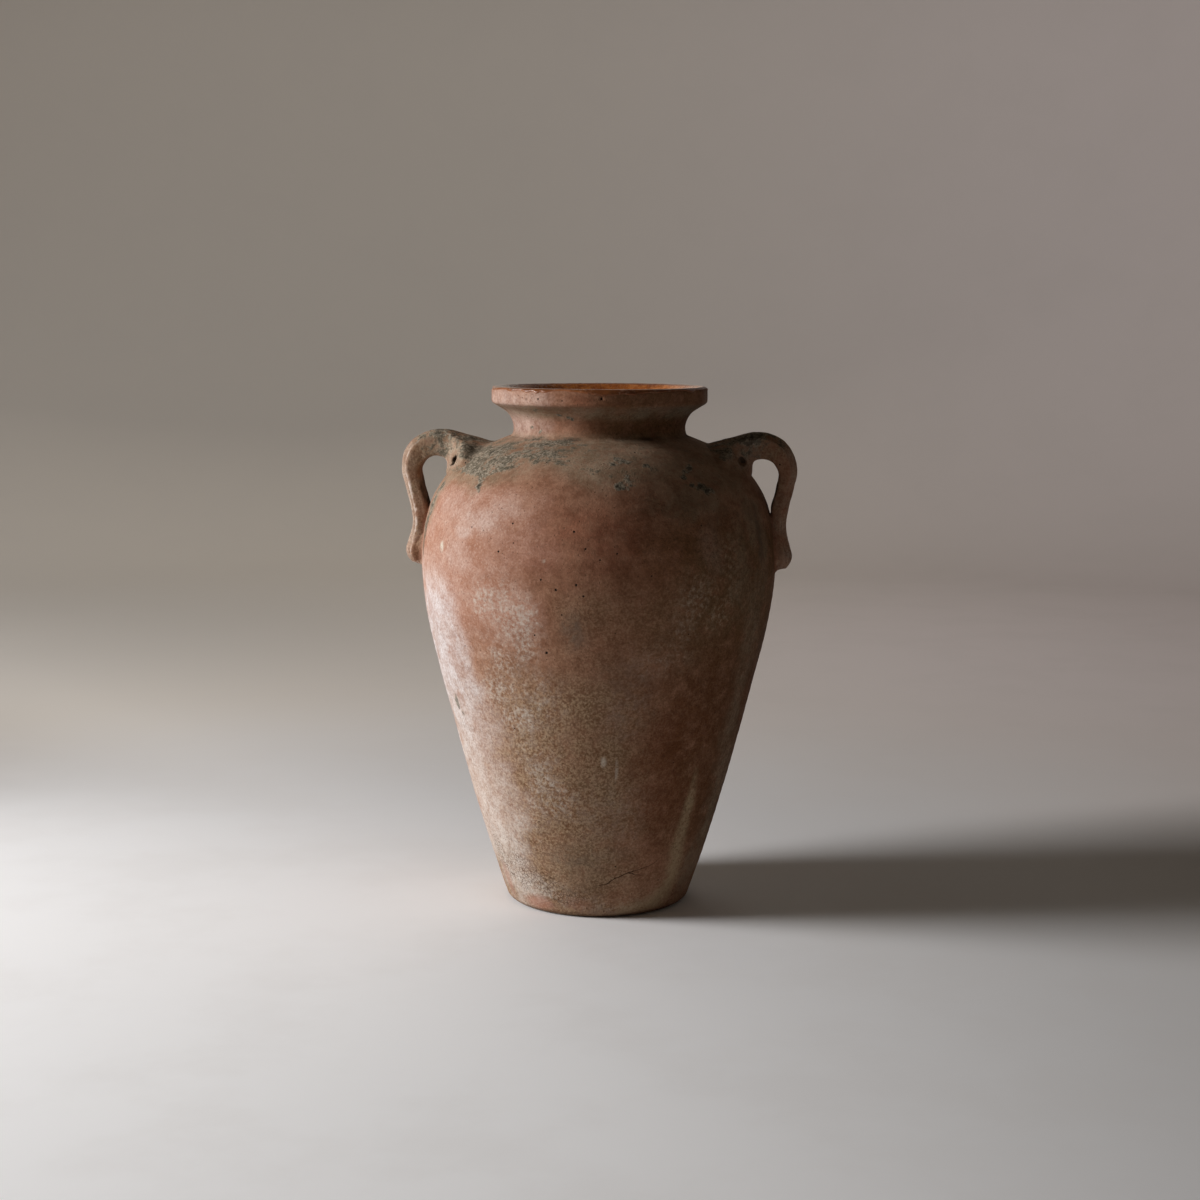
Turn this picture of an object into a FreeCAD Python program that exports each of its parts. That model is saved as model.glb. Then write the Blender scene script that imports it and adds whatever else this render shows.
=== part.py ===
import FreeCAD, Part
import math
import os
import Sketcher

# Two-handled earthenware olive jar, glazed inside.
# Frame: +Z up, origin at the centre of the base on the surface it stands on,
# handles on +X and -X.  All lengths are millimetres.

V3 = FreeCAD.Vector
doc = FreeCAD.newDocument("olive_jar")

# ---------------------------------------------------------------- dimensions
CELLS = [
    # base disc
    ("base_flat_r", 68.5), ("base_edge_r", 75.4), ("base_edge_z", 5.5), ("base_edge_round", 7.2),
    # luted joints between the thrown sections: height, outer and inner radius,
    # and how fast each radius grows with height there
    ("base_joint_z", 13.0), ("base_joint_r", 78.1), ("base_joint_in", 67.6),
    ("lower_joint_z", 150.0), ("lower_joint_r", 118.2), ("lower_joint_in", 108.48),
    ("upper_joint_z", 318.0), ("upper_joint_r", 138.5), ("upper_joint_in", 128.9),
    ("neck_joint_z", 380.6), ("neck_joint_r", 70.9), ("throat_r", 59.5),
    ("rim_joint_z", 402.0), ("rim_joint_r", 78.8), ("rim_joint_in", 62.13),
    ("base_joint_grow", 0.33), ("lower_joint_grow", 0.27), ("upper_joint_grow", -0.33),
    ("neck_joint_grow_low", -2.45), ("neck_joint_grow_high", -0.40),
    ("rim_joint_grow_out", 1.64), ("rim_joint_grow_in", 0.58),
    ("slip_thick", 0.8), ("joint_vee", 4.0), ("rim_vee", 3.0),
    # outer outline of the body between the joints
    ("lower_out_arc", 1765.0),
    ("belly_mid_r", 135.05), ("belly_mid_z", 216.0), ("belly_out_arc_a", 2177.0),
    ("belly_max_r", 143.5), ("belly_max_z", 276.0), ("belly_out_arc_b", 305.7),
    ("belly_out_arc_c", 148.8),
    ("shoulder_a_r", 122.1), ("shoulder_a_z", 349.7), ("shoulder_out_arc_a", 75.0),
    ("shoulder_b_r", 93.3), ("shoulder_b_z", 371.7), ("shoulder_out_arc_b", 89.8),
    ("shoulder_out_arc_c", 2582.0),
    # inner outline of the clay
    ("lower_in_arc", 1760.0),
    ("belly_mid_in", 126.07), ("belly_mid_in_z", 217.95), ("belly_in_arc_a", 2207.0),
    ("belly_max_in", 134.5), ("belly_max_in_z", 276.2), ("belly_in_arc_b", 297.7),
    ("belly_in_arc_c", 139.8),
    ("shoulder_a_in", 115.06), ("shoulder_a_in_z", 343.6), ("shoulder_in_arc_a", 66.2),
    ("shoulder_b_in", 88.85), ("shoulder_b_in_z", 363.3), ("shoulder_in_arc_b", 81.4),
    ("throat_foot_r", 63.2), ("throat_foot_z", 373.4), ("throat_low_z", 378.85),
    ("throat_foot_arc", 5.9), ("throat_top_z", 393.0), ("throat_flare_arc", 16.7),
    # neck and flared rim
    ("neck_min_r", 69.25), ("neck_min_z", 386.2), ("neck_low_arc", 9.5), ("neck_flare_arc", 18.0),
    ("rim_under_r", 85.37), ("rim_under_z", 406.0), ("rim_under_arc", 3.36),
    ("band_r", 87.0), ("band_low_z", 408.88), ("band_top_z", 415.7), ("lip_out_arc", 3.65),
    ("lip_crest_r", 83.35), ("lip_crest_z", 419.35), ("lip_in_arc", 5.46),
    ("lip_in_r", 80.0), ("lip_in_z", 418.2), ("rim_flare_arc", 40.0),
    # glaze
    ("glaze_thick", 0.8), ("lip_glaze_thick", 0.65),
    # clay spread in a fan round the upper handle roots, and wads round the tails
    ("root_wad_r", 95.0), ("root_wad_z", 346.8), ("root_wad_long", 28.5),
    ("root_wad_wide", 60.0), ("root_wad_high", 27.0), ("root_wad_tilt", 38.0),
    ("tail_wad_r", 142.4), ("tail_wad_z", 287.0), ("tail_wad_long", 16.5),
    ("tail_wad_wide", 18.0), ("tail_wad_high", 6.5),
]

# Handle strap: reach from the jar axis, height, thickness and width of each
# station of its centre line, from the root on the shoulder to the pressed tail.
STRAP = [
    (92.0, 361.0, 22.5, 34.0), (112.0, 368.2, 22.0, 30.0), (131.5, 373.3, 21.4, 26.0),
    (146.6, 367.4, 19.0, 24.0), (153.4, 353.7, 15.4, 23.0), (150.7, 337.5, 14.0, 22.5),
    (146.6, 321.0, 14.2, 22.0), (146.0, 306.0, 13.2, 22.0), (148.4, 291.5, 15.2, 23.5),
    (149.4, 283.5, 16.8, 24.5), (147.6, 275.2, 10.0, 20.0),
]
for i, (reach, height, thick, wide) in enumerate(STRAP):
    CELLS += [("strap%d_reach" % i, reach), ("strap%d_height" % i, height),
              ("strap%d_thick" % i, thick), ("strap%d_wide" % i, wide)]

sheet = doc.addObject("Spreadsheet::Sheet", "dims")
VALUE = {}
for row, (alias, number) in enumerate(CELLS, start=1):
    sheet.set("A%d" % row, alias)
    sheet.set("B%d" % row, str(number))
    sheet.setAlias("B%d" % row, alias)
    VALUE[alias] = number
doc.recompute()


class Dim:
    """A length with its value and the cell expression that drives it."""

    def __init__(self, value, text):
        self.value, self.text = float(value), text

    def __add__(self, other):
        other = wrap(other)
        return Dim(self.value + other.value, "(%s + %s)" % (self.text, other.text))

    def __sub__(self, other):
        other = wrap(other)
        return Dim(self.value - other.value, "(%s - %s)" % (self.text, other.text))

    def __mul__(self, other):
        other = wrap(other)
        return Dim(self.value * other.value, "(%s * %s)" % (self.text, other.text))

    def __truediv__(self, other):
        other = wrap(other)
        return Dim(self.value / other.value, "(%s / %s)" % (self.text, other.text))


def wrap(x):
    return x if isinstance(x, Dim) else Dim(x, "%.6f" % x if x >= 0 else "(%.6f)" % x)


def cell(alias):
    return Dim(VALUE[alias], "dims." + alias)


ZERO = Dim(0.0, "0")


def origin_plane(body, role):
    return [f for f in body.Origin.OriginFeatures if f.Role == role][0]


def revolved(label, loop):
    """Body made by revolving a closed outline in the XZ plane about the jar axis.

    loop is a list of (r, z, edge): edge describes the edge that starts there,
    None for a straight one or (radius, side) for an arc whose centre lies to
    the left (+1) or to the right (-1) of the direction of travel."""
    body = doc.addObject("PartDesign::Body", label)
    body.Label = label
    sk = body.newObject("Sketcher::SketchObject", label + "_outline")
    sk.AttachmentSupport = [(origin_plane(body, "XZ_Plane"), "")]
    sk.MapMode = "FlatFace"
    n = len(loop)
    starts, ends = [], []          # (geometry index, point position) of each edge's two ends
    for i in range(n):
        r0, z0, edge = loop[i]
        r1, z1, _ = loop[(i + 1) % n]
        p0, p1 = V3(r0.value, z0.value, 0), V3(r1.value, z1.value, 0)
        if edge is None:
            g = sk.addGeometry(Part.LineSegment(p0, p1), False)
            starts.append((g, 1))
            ends.append((g, 2))
        else:
            radius, side = edge
            d = p1 - p0
            half = d.Length / 2.0
            rise = math.sqrt(max(radius.value ** 2 - half ** 2, 0.0))
            left = V3(-d.y, d.x, 0).normalize()
            c = (p0 + p1) * 0.5 + left * (rise * side)
            a0 = math.atan2(p0.y - c.y, p0.x - c.x)
            a1 = math.atan2(p1.y - c.y, p1.x - c.x)
            if side < 0:
                a0, a1 = a1, a0
            if a1 < a0:
                a1 += 2.0 * math.pi
            circle = Part.Circle(c, V3(0, 0, 1), radius.value)
            g = sk.addGeometry(Part.ArcOfCircle(circle, a0, a1), False)
            starts.append((g, 1 if side > 0 else 2))
            ends.append((g, 2 if side > 0 else 1))
    for i in range(n):
        j = (i + 1) % n
        sk.addConstraint(Sketcher.Constraint("Coincident", ends[i][0], ends[i][1], starts[j][0], starts[j][1]))
    for i in range(n):
        r0, z0, edge = loop[i]
        g, pos = starts[i]
        if r0 is ZERO:
            sk.addConstraint(Sketcher.Constraint("PointOnObject", g, pos, -2))
        else:
            k = sk.addConstraint(Sketcher.Constraint("DistanceX", -1, 1, g, pos, r0.value))
            sk.setExpression("Constraints[%d]" % k, r0.text)
        if z0 is ZERO:
            sk.addConstraint(Sketcher.Constraint("PointOnObject", g, pos, -1))
        else:
            k = sk.addConstraint(Sketcher.Constraint("DistanceY", -1, 1, g, pos, z0.value))
            sk.setExpression("Constraints[%d]" % k, z0.text)
        if edge is not None:
            k = sk.addConstraint(Sketcher.Constraint("Radius", g, edge[0].value))
            sk.setExpression("Constraints[%d]" % k, edge[0].text)
    rev = body.newObject("PartDesign::Revolution", label + "_turned")
    rev.Profile = sk
    rev.ReferenceAxis = (sk, ["V_Axis"])
    rev.Angle = 360.0
    body.Tip = rev
    return body


# ------------------------------------------------------------ luted V joints
half_slip = cell("slip_thick") / 2


class Joint:
    """Edges of the two clay faces that meet with a slip layer between them."""

    def __init__(self, z, r_out, r_in, grow_low, grow_high, grow_in, vee):
        self.low_z, self.high_z = z - half_slip, z + half_slip
        self.out_low, self.out_high = r_out - half_slip * grow_low, r_out + half_slip * grow_high
        self.in_low, self.in_high = r_in - half_slip * grow_in, r_in + half_slip * grow_in
        self.mid = (r_out + r_in) / 2
        self.vee_low, self.vee_high = self.low_z - vee, self.high_z - vee


vee = cell("joint_vee")
J_BASE = Joint(cell("base_joint_z"), cell("base_joint_r"), cell("base_joint_in"),
               cell("base_joint_grow"), cell("base_joint_grow"), cell("base_joint_grow"), vee)
J_LOWER = Joint(cell("lower_joint_z"), cell("lower_joint_r"), cell("lower_joint_in"),
                cell("lower_joint_grow"), cell("lower_joint_grow"), cell("lower_joint_grow"), vee)
J_UPPER = Joint(cell("upper_joint_z"), cell("upper_joint_r"), cell("upper_joint_in"),
                cell("upper_joint_grow"), cell("upper_joint_grow"), cell("upper_joint_grow"), vee)
J_NECK = Joint(cell("neck_joint_z"), cell("neck_joint_r"), cell("throat_r"),
               cell("neck_joint_grow_low"), cell("neck_joint_grow_high"), wrap(0.0), cell("rim_vee"))
J_RIM = Joint(cell("rim_joint_z"), cell("rim_joint_r"), cell("rim_joint_in"),
              cell("rim_joint_grow_out"), cell("rim_joint_grow_out"), cell("rim_joint_grow_in"), cell("rim_vee"))


def seam(label, j):
    """Thin slip ring that fills the V joint."""
    return revolved(label, [
        (j.out_low, j.low_z, None), (j.out_high, j.high_z, None), (j.mid, j.vee_high, None),
        (j.in_high, j.high_z, None), (j.in_low, j.low_z, None), (j.mid, j.vee_low, None)])


# -------------------------------------------------------------- clay sections
base_disc = revolved("base_disc", [
    (ZERO, ZERO, None),
    (cell("base_flat_r"), ZERO, (cell("base_edge_round"), 1)),
    (cell("base_edge_r"), cell("base_edge_z"), None),
    (J_BASE.out_low, J_BASE.low_z, None),
    (J_BASE.mid, J_BASE.vee_low, None),
    (J_BASE.in_low, J_BASE.low_z, None),
    (ZERO, J_BASE.low_z, None)])

lower_wall = revolved("lower_wall", [
    (J_BASE.out_high, J_BASE.high_z, (cell("lower_out_arc"), 1)),
    (J_LOWER.out_low, J_LOWER.low_z, None),
    (J_LOWER.mid, J_LOWER.vee_low, None),
    (J_LOWER.in_low, J_LOWER.low_z, (cell("lower_in_arc"), -1)),
    (J_BASE.in_high, J_BASE.high_z, None),
    (J_BASE.mid, J_BASE.vee_high, None)])

belly_wall = revolved("belly_wall", [
    (J_LOWER.out_high, J_LOWER.high_z, (cell("belly_out_arc_a"), 1)),
    (cell("belly_mid_r"), cell("belly_mid_z"), (cell("belly_out_arc_b"), 1)),
    (cell("belly_max_r"), cell("belly_max_z"), (cell("belly_out_arc_c"), 1)),
    (J_UPPER.out_low, J_UPPER.low_z, None),
    (J_UPPER.mid, J_UPPER.vee_low, None),
    (J_UPPER.in_low, J_UPPER.low_z, (cell("belly_in_arc_c"), -1)),
    (cell("belly_max_in"), cell("belly_max_in_z"), (cell("belly_in_arc_b"), -1)),
    (cell("belly_mid_in"), cell("belly_mid_in_z"), (cell("belly_in_arc_a"), -1)),
    (J_LOWER.in_high, J_LOWER.high_z, None),
    (J_LOWER.mid, J_LOWER.vee_high, None)])

shoulder_wall = revolved("shoulder_wall", [
    (J_UPPER.out_high, J_UPPER.high_z, (cell("shoulder_out_arc_a"), 1)),
    (cell("shoulder_a_r"), cell("shoulder_a_z"), (cell("shoulder_out_arc_b"), 1)),
    (cell("shoulder_b_r"), cell("shoulder_b_z"), (cell("shoulder_out_arc_c"), 1)),
    (J_NECK.out_low, J_NECK.low_z, None),
    (J_NECK.mid, J_NECK.vee_low, None),
    (J_NECK.in_low, J_NECK.low_z, None),
    (cell("throat_r"), cell("throat_low_z"), (cell("throat_foot_arc"), 1)),
    (cell("throat_foot_r"), cell("throat_foot_z"), None),
    (cell("shoulder_b_in"), cell("shoulder_b_in_z"), (cell("shoulder_in_arc_b"), -1)),
    (cell("shoulder_a_in"), cell("shoulder_a_in_z"), (cell("shoulder_in_arc_a"), -1)),
    (J_UPPER.in_high, J_UPPER.high_z, None),
    (J_UPPER.mid, J_UPPER.vee_high, None)])

neck_collar = revolved("neck_collar", [
    (J_NECK.out_high, J_NECK.high_z, (cell("neck_low_arc"), -1)),
    (cell("neck_min_r"), cell("neck_min_z"), (cell("neck_flare_arc"), -1)),
    (J_RIM.out_low, J_RIM.low_z, None),
    (J_RIM.mid, J_RIM.vee_low, None),
    (J_RIM.in_low, J_RIM.low_z, (cell("throat_flare_arc"), 1)),
    (cell("throat_r"), cell("throat_top_z"), None),
    (J_NECK.in_high, J_NECK.high_z, None),
    (J_NECK.mid, J_NECK.vee_high, None)])

rim_coil = revolved("rim_coil", [
    (J_RIM.out_high, J_RIM.high_z, None),
    (cell("rim_under_r"), cell("rim_under_z"), (cell("rim_under_arc"), 1)),
    (cell("band_r"), cell("band_low_z"), None),
    (cell("band_r"), cell("band_top_z"), (cell("lip_out_arc"), 1)),
    (cell("lip_crest_r"), cell("lip_crest_z"), (cell("lip_in_arc"), 1)),
    (cell("lip_in_r"), cell("lip_in_z"), (cell("rim_flare_arc"), 1)),
    (J_RIM.in_high, J_RIM.high_z, None),
    (J_RIM.mid, J_RIM.vee_high, None)])

seams = [seam("base_slip_seam", J_BASE), seam("lower_slip_seam", J_LOWER),
         seam("upper_slip_seam", J_UPPER), seam("neck_slip_seam", J_NECK),
         seam("rim_slip_seam", J_RIM)]

# ----------------------------------------------------------------- the glaze
g = cell("glaze_thick")
interior_glaze = revolved("interior_glaze", [
    # against the clay, from the middle of the floor up to the lip
    (ZERO, J_BASE.low_z, None),
    (J_BASE.in_low, J_BASE.low_z, None),
    (J_BASE.in_high, J_BASE.high_z, (cell("lower_in_arc"), 1)),
    (J_LOWER.in_low, J_LOWER.low_z, None),
    (J_LOWER.in_high, J_LOWER.high_z, (cell("belly_in_arc_a"), 1)),
    (cell("belly_mid_in"), cell("belly_mid_in_z"), (cell("belly_in_arc_b"), 1)),
    (cell("belly_max_in"), cell("belly_max_in_z"), (cell("belly_in_arc_c"), 1)),
    (J_UPPER.in_low, J_UPPER.low_z, None),
    (J_UPPER.in_high, J_UPPER.high_z, (cell("shoulder_in_arc_a"), 1)),
    (cell("shoulder_a_in"), cell("shoulder_a_in_z"), (cell("shoulder_in_arc_b"), 1)),
    (cell("shoulder_b_in"), cell("shoulder_b_in_z"), None),
    (cell("throat_foot_r"), cell("throat_foot_z"), (cell("throat_foot_arc"), -1)),
    (cell("throat_r"), cell("throat_low_z"), None),
    (cell("throat_r"), cell("throat_top_z"), (cell("throat_flare_arc"), -1)),
    (J_RIM.in_low, J_RIM.low_z, None),
    (J_RIM.in_high, J_RIM.high_z, (cell("rim_flare_arc"), -1)),
    (cell("lip_in_r"), cell("lip_in_z"), None),
    # free face, back down to the floor
    (cell("lip_in_r") - g * 0.416, cell("lip_in_z") + g * 0.909, (cell("rim_flare_arc") + g, 1)),
    (cell("rim_joint_in") - g * 0.857, cell("rim_joint_z") + g * 0.515, (cell("throat_flare_arc") + g, 1)),
    (cell("throat_r") - g, cell("throat_top_z"), None),
    (cell("throat_r") - g, cell("throat_low_z"), (cell("throat_foot_arc") + g, 1)),
    (cell("throat_foot_r") - g * 0.366, cell("throat_foot_z") - g * 0.93, None),
    (cell("shoulder_b_in") - g * 0.42, cell("shoulder_b_in_z") - g * 0.9, (cell("shoulder_in_arc_b") - g, -1)),
    (cell("shoulder_a_in") - g * 0.75, cell("shoulder_a_in_z") - g * 0.66, (cell("shoulder_in_arc_a") - g, -1)),
    (cell("upper_joint_in") - g * 0.96, cell("upper_joint_z") - g * 0.276, (cell("belly_in_arc_c") - g, -1)),
    (cell("belly_max_in") - g, cell("belly_max_in_z"), (cell("belly_in_arc_b") - g, -1)),
    (cell("belly_mid_in") - g * 0.977, cell("belly_mid_in_z") + g * 0.215, (cell("belly_in_arc_a") - g, -1)),
    (cell("lower_joint_in") - g * 0.966, cell("lower_joint_z") + g * 0.26, (cell("lower_in_arc") - g, -1)),
    (cell("base_joint_in") - g * 0.85, J_BASE.low_z + g, None),
    (ZERO, J_BASE.low_z + g, None)])

lip = cell("lip_glaze_thick")
rim_glaze = revolved("rim_glaze", [
    (cell("lip_in_r"), cell("lip_in_z"), (cell("lip_in_arc"), -1)),
    (cell("lip_crest_r"), cell("lip_crest_z"), (cell("lip_out_arc"), -1)),
    (cell("band_r"), cell("band_top_z"), None),
    (cell("band_r") + lip * 0.7, cell("band_top_z"), (cell("lip_out_arc") + lip * 0.85, 1)),
    (cell("lip_crest_r"), cell("lip_crest_z") + lip, (cell("lip_in_arc") + g, 1)),
    (cell("lip_in_r") - g * 0.416, cell("lip_in_z") + g * 0.909, None)])

# --------------------------------------------- handles, cut to the jar's wall
envelope = revolved("wall_envelope", [
    (ZERO, J_BASE.high_z, None),
    (J_BASE.out_high, J_BASE.high_z, (cell("lower_out_arc"), 1)),
    (J_LOWER.out_low, J_LOWER.low_z, None),
    (J_LOWER.out_high, J_LOWER.high_z, (cell("belly_out_arc_a"), 1)),
    (cell("belly_mid_r"), cell("belly_mid_z"), (cell("belly_out_arc_b"), 1)),
    (cell("belly_max_r"), cell("belly_max_z"), (cell("belly_out_arc_c"), 1)),
    (J_UPPER.out_low, J_UPPER.low_z, None),
    (J_UPPER.out_high, J_UPPER.high_z, (cell("shoulder_out_arc_a"), 1)),
    (cell("shoulder_a_r"), cell("shoulder_a_z"), (cell("shoulder_out_arc_b"), 1)),
    (cell("shoulder_b_r"), cell("shoulder_b_z"), (cell("shoulder_out_arc_c"), 1)),
    (J_NECK.out_low, J_NECK.low_z, None),
    (ZERO, J_NECK.low_z, None)])

rings = []
last = len(STRAP) - 1
for i in range(len(STRAP)):
    a, b = STRAP[max(i - 1, 0)], STRAP[min(i + 1, last)]
    run = V3(b[0] - a[0], 0, b[1] - a[1]).normalize()
    if i == last:
        run = V3(-0.25, 0, -0.97).normalize()
    ring = doc.addObject("Part::Ellipse", "strap_ring_%d" % i)
    ring.MajorRadius = VALUE["strap%d_wide" % i] / 2.0
    ring.MinorRadius = VALUE["strap%d_thick" % i] / 2.0
    across = V3(0, 1, 0)
    ring.Placement = FreeCAD.Placement(V3(VALUE["strap%d_reach" % i], 0, VALUE["strap%d_height" % i]),
                                       FreeCAD.Rotation(across, run.cross(across), run, "ZXY"))
    ring.setExpression("MajorRadius", "dims.strap%d_wide / 2 * 1 mm" % i)
    ring.setExpression("MinorRadius", "dims.strap%d_thick / 2 * 1 mm" % i)
    ring.setExpression(".Placement.Base.x", "dims.strap%d_reach" % i)
    ring.setExpression(".Placement.Base.z", "dims.strap%d_height" % i)
    rings.append(ring)
doc.recompute()

strap = doc.addObject("Part::Loft", "strap")
strap.Sections = rings
strap.Solid = True
strap.Ruled = False
strap.Closed = False
doc.recompute()

right_handle = doc.addObject("Part::Cut", "right_handle")
right_handle.Base = strap
right_handle.Tool = envelope
right_handle.Label = "right_handle"


def wad(label, r, z, tilt, long_, wide, high):
    """Pressed clay spread: an ellipsoid cap on the wall, less the wall and the strap."""
    lump = doc.addObject("Part::Ellipsoid", label + "_lump")
    lump.setExpression("Radius1", "dims.%s * 1 mm" % long_)
    lump.setExpression("Radius2", "dims.%s * 1 mm" % high)
    lump.setExpression("Radius3", "dims.%s * 1 mm" % wide)
    lump.Angle1, lump.Angle2, lump.Angle3 = -90.0, 90.0, 360.0
    lump.Placement = FreeCAD.Placement(V3(VALUE[r], 0, VALUE[z]), FreeCAD.Rotation(V3(0, 1, 0), tilt))
    lump.setExpression(".Placement.Base.x", "dims." + r)
    lump.setExpression(".Placement.Base.z", "dims." + z)
    free = doc.addObject("Part::Cut", label + "_free")
    free.Base, free.Tool = lump, envelope
    out = doc.addObject("Part::Cut", label)
    out.Base, out.Tool = free, strap
    out.Label = label
    return out


right_root_wad = wad("right_handle_root_wad", "root_wad_r", "root_wad_z", -(90.0 - VALUE["root_wad_tilt"]),
                     "root_wad_long", "root_wad_wide", "root_wad_high")
right_tail_wad = wad("right_handle_tail_wad", "tail_wad_r", "tail_wad_z", 0.0,
                     "tail_wad_long", "tail_wad_wide", "tail_wad_high")


def mirrored(label, source):
    out = doc.addObject("Part::Mirroring", label)
    out.Source = source
    out.Normal = V3(1, 0, 0)
    out.Base = V3(0, 0, 0)
    out.Label = label
    return out


left_handle = mirrored("left_handle", right_handle)
left_root_wad = mirrored("left_handle_root_wad", right_root_wad)
left_tail_wad = mirrored("left_handle_tail_wad", right_tail_wad)

doc.recompute()

# ------------------------------------------------------------- test and write
NODES = [base_disc, lower_wall, belly_wall, shoulder_wall, neck_collar, rim_coil] + seams + [
    interior_glaze, rim_glaze, left_handle, right_handle,
    left_root_wad, right_root_wad, left_tail_wad, right_tail_wad]

bad = [o.Name for o in doc.Objects if "Invalid" in o.State or "Error" in o.State]
if bad:
    raise RuntimeError("failed objects: " + ", ".join(bad))
for node in NODES:
    shape = node.Shape
    if shape.isNull() or not shape.isValid() or len(shape.Solids) < 1 or shape.Volume <= 0:
        raise RuntimeError("bad shape: " + node.Label)

os.makedirs("parts", exist_ok=True)
for node in NODES:
    node.Shape.exportStep("parts/" + node.Label + ".step")
    bb = node.Shape.BoundBox
    print("%-24s solids %d volume %9.0f mm3  x %.1f..%.1f y %.1f..%.1f z %.1f..%.1f" % (
        node.Label, len(node.Shape.Solids), node.Shape.Volume,
        bb.XMin, bb.XMax, bb.YMin, bb.YMax, bb.ZMin, bb.ZMax))
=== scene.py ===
import math

import bmesh
import bpy
import numpy as np
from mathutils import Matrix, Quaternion, Vector


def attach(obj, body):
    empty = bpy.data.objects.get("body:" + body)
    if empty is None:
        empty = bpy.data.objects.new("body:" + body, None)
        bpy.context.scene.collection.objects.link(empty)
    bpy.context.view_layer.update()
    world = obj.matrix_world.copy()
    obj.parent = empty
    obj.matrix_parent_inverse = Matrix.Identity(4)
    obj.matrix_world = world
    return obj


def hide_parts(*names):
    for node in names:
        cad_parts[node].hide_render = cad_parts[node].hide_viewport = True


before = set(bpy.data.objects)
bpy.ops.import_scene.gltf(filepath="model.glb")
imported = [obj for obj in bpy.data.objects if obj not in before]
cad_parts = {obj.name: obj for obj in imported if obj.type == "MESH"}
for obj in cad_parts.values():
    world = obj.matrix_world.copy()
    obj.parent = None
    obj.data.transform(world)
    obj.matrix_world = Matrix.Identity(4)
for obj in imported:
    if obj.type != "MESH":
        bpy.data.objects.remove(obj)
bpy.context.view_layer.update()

# Two-handled earthenware olive jar.  Outlines are in millimetres in the row
# frame, as in the CAD source, and every mesh is written in metres.
MM = 0.001

# =============================================================== small helpers


def smooth(a, b, x):
    """0 below a, 1 above b, eased between; b may be the smaller."""
    t = np.clip((np.asarray(x, float) - a) / (b - a), 0.0, 1.0)
    return t * t * (3.0 - 2.0 * t)


def hashed(i, j, k, seed):
    h = (i.astype(np.int64).astype(np.uint32) * np.uint32(0x8DA6B343)
         ^ j.astype(np.int64).astype(np.uint32) * np.uint32(0xD8163841)
         ^ k.astype(np.int64).astype(np.uint32) * np.uint32(0xCB1AB31F)
         ^ np.uint32((seed * 0x9E3779B1) & 0xFFFFFFFF))
    h ^= h >> np.uint32(16)
    h *= np.uint32(0x7FEB352D)
    h ^= h >> np.uint32(15)
    h *= np.uint32(0x846CA68B)
    h ^= h >> np.uint32(16)
    return h


def noise(p, size, seed):
    """Gradient noise, about -1 to 1, with features about that many mm across."""
    q = p / size + seed * 7.31
    i = np.floor(q)
    f = q - i
    u = f * f * f * (f * (f * 6.0 - 15.0) + 10.0)
    total = np.zeros(len(p))
    for dx in (0, 1):
        wx = u[:, 0] if dx else 1.0 - u[:, 0]
        for dy in (0, 1):
            wy = u[:, 1] if dy else 1.0 - u[:, 1]
            for dz in (0, 1):
                wz = u[:, 2] if dz else 1.0 - u[:, 2]
                h = hashed(i[:, 0] + dx, i[:, 1] + dy, i[:, 2] + dz, seed)
                gx = (h & np.uint32(1023)).astype(float) / 511.5 - 1.0
                gy = ((h >> np.uint32(10)) & np.uint32(1023)).astype(float) / 511.5 - 1.0
                gz = ((h >> np.uint32(20)) & np.uint32(1023)).astype(float) / 511.5 - 1.0
                total += wx * wy * wz * (gx * (f[:, 0] - dx) + gy * (f[:, 1] - dy) + gz * (f[:, 2] - dz))
    return total * 1.7


def fbm(p, size, seed, octaves=3, gain=0.5):
    total, amp = np.zeros(len(p)), 1.0
    for o in range(octaves):
        total += amp * noise(p, size / 2.0 ** o, seed + 31 * o)
        amp *= gain
    return total


# ===================================================================== outline


def run(points, step):
    """Rows along an outline of (r, z, edge): edge is None for a straight run to
    the next point, or (radius, side) for an arc with its centre to the left (+1)
    or right (-1) of travel."""
    rows = [np.array(points[0][:2], float)]
    for a, b in zip(points, points[1:]):
        p, q = np.array(a[:2], float), np.array(b[:2], float)
        edge = a[2] if len(a) > 2 else None
        d = q - p
        length = float(np.hypot(*d))
        if edge is None:
            n = max(1, math.ceil(length / step))
            rows += [p + d * (k / n) for k in range(1, n + 1)]
            continue
        radius, side = edge
        rise = math.sqrt(max(radius * radius - length * length / 4.0, 0.0))
        c = (p + q) / 2.0 + np.array((-d[1], d[0])) / length * rise * side
        a0, a1 = math.atan2(*(p - c)[::-1]), math.atan2(*(q - c)[::-1])
        sweep = (a1 - a0 + math.pi) % (2.0 * math.pi) - math.pi
        n = max(2, math.ceil(abs(sweep) * radius / step))
        rows += [c + radius * np.array((math.cos(a0 + sweep * k / n), math.sin(a0 + sweep * k / n)))
                 for k in range(1, n)] + [q]
    return np.array(rows)


class Joint:
    """Edges of the two clay faces of a luted V joint, 0.8 mm of slip between."""

    def __init__(self, z, r_out, r_in, low, high, inner, vee):
        self.low, self.high = (r_out - 0.4 * low, z - 0.4), (r_out + 0.4 * high, z + 0.4)
        self.in_low, self.in_high = (r_in - 0.4 * inner, z - 0.4), (r_in + 0.4 * inner, z + 0.4)
        mid = (r_out + r_in) / 2.0
        self.vee_low, self.vee_high = (mid, z - 0.4 - vee), (mid, z + 0.4 - vee)


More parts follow.
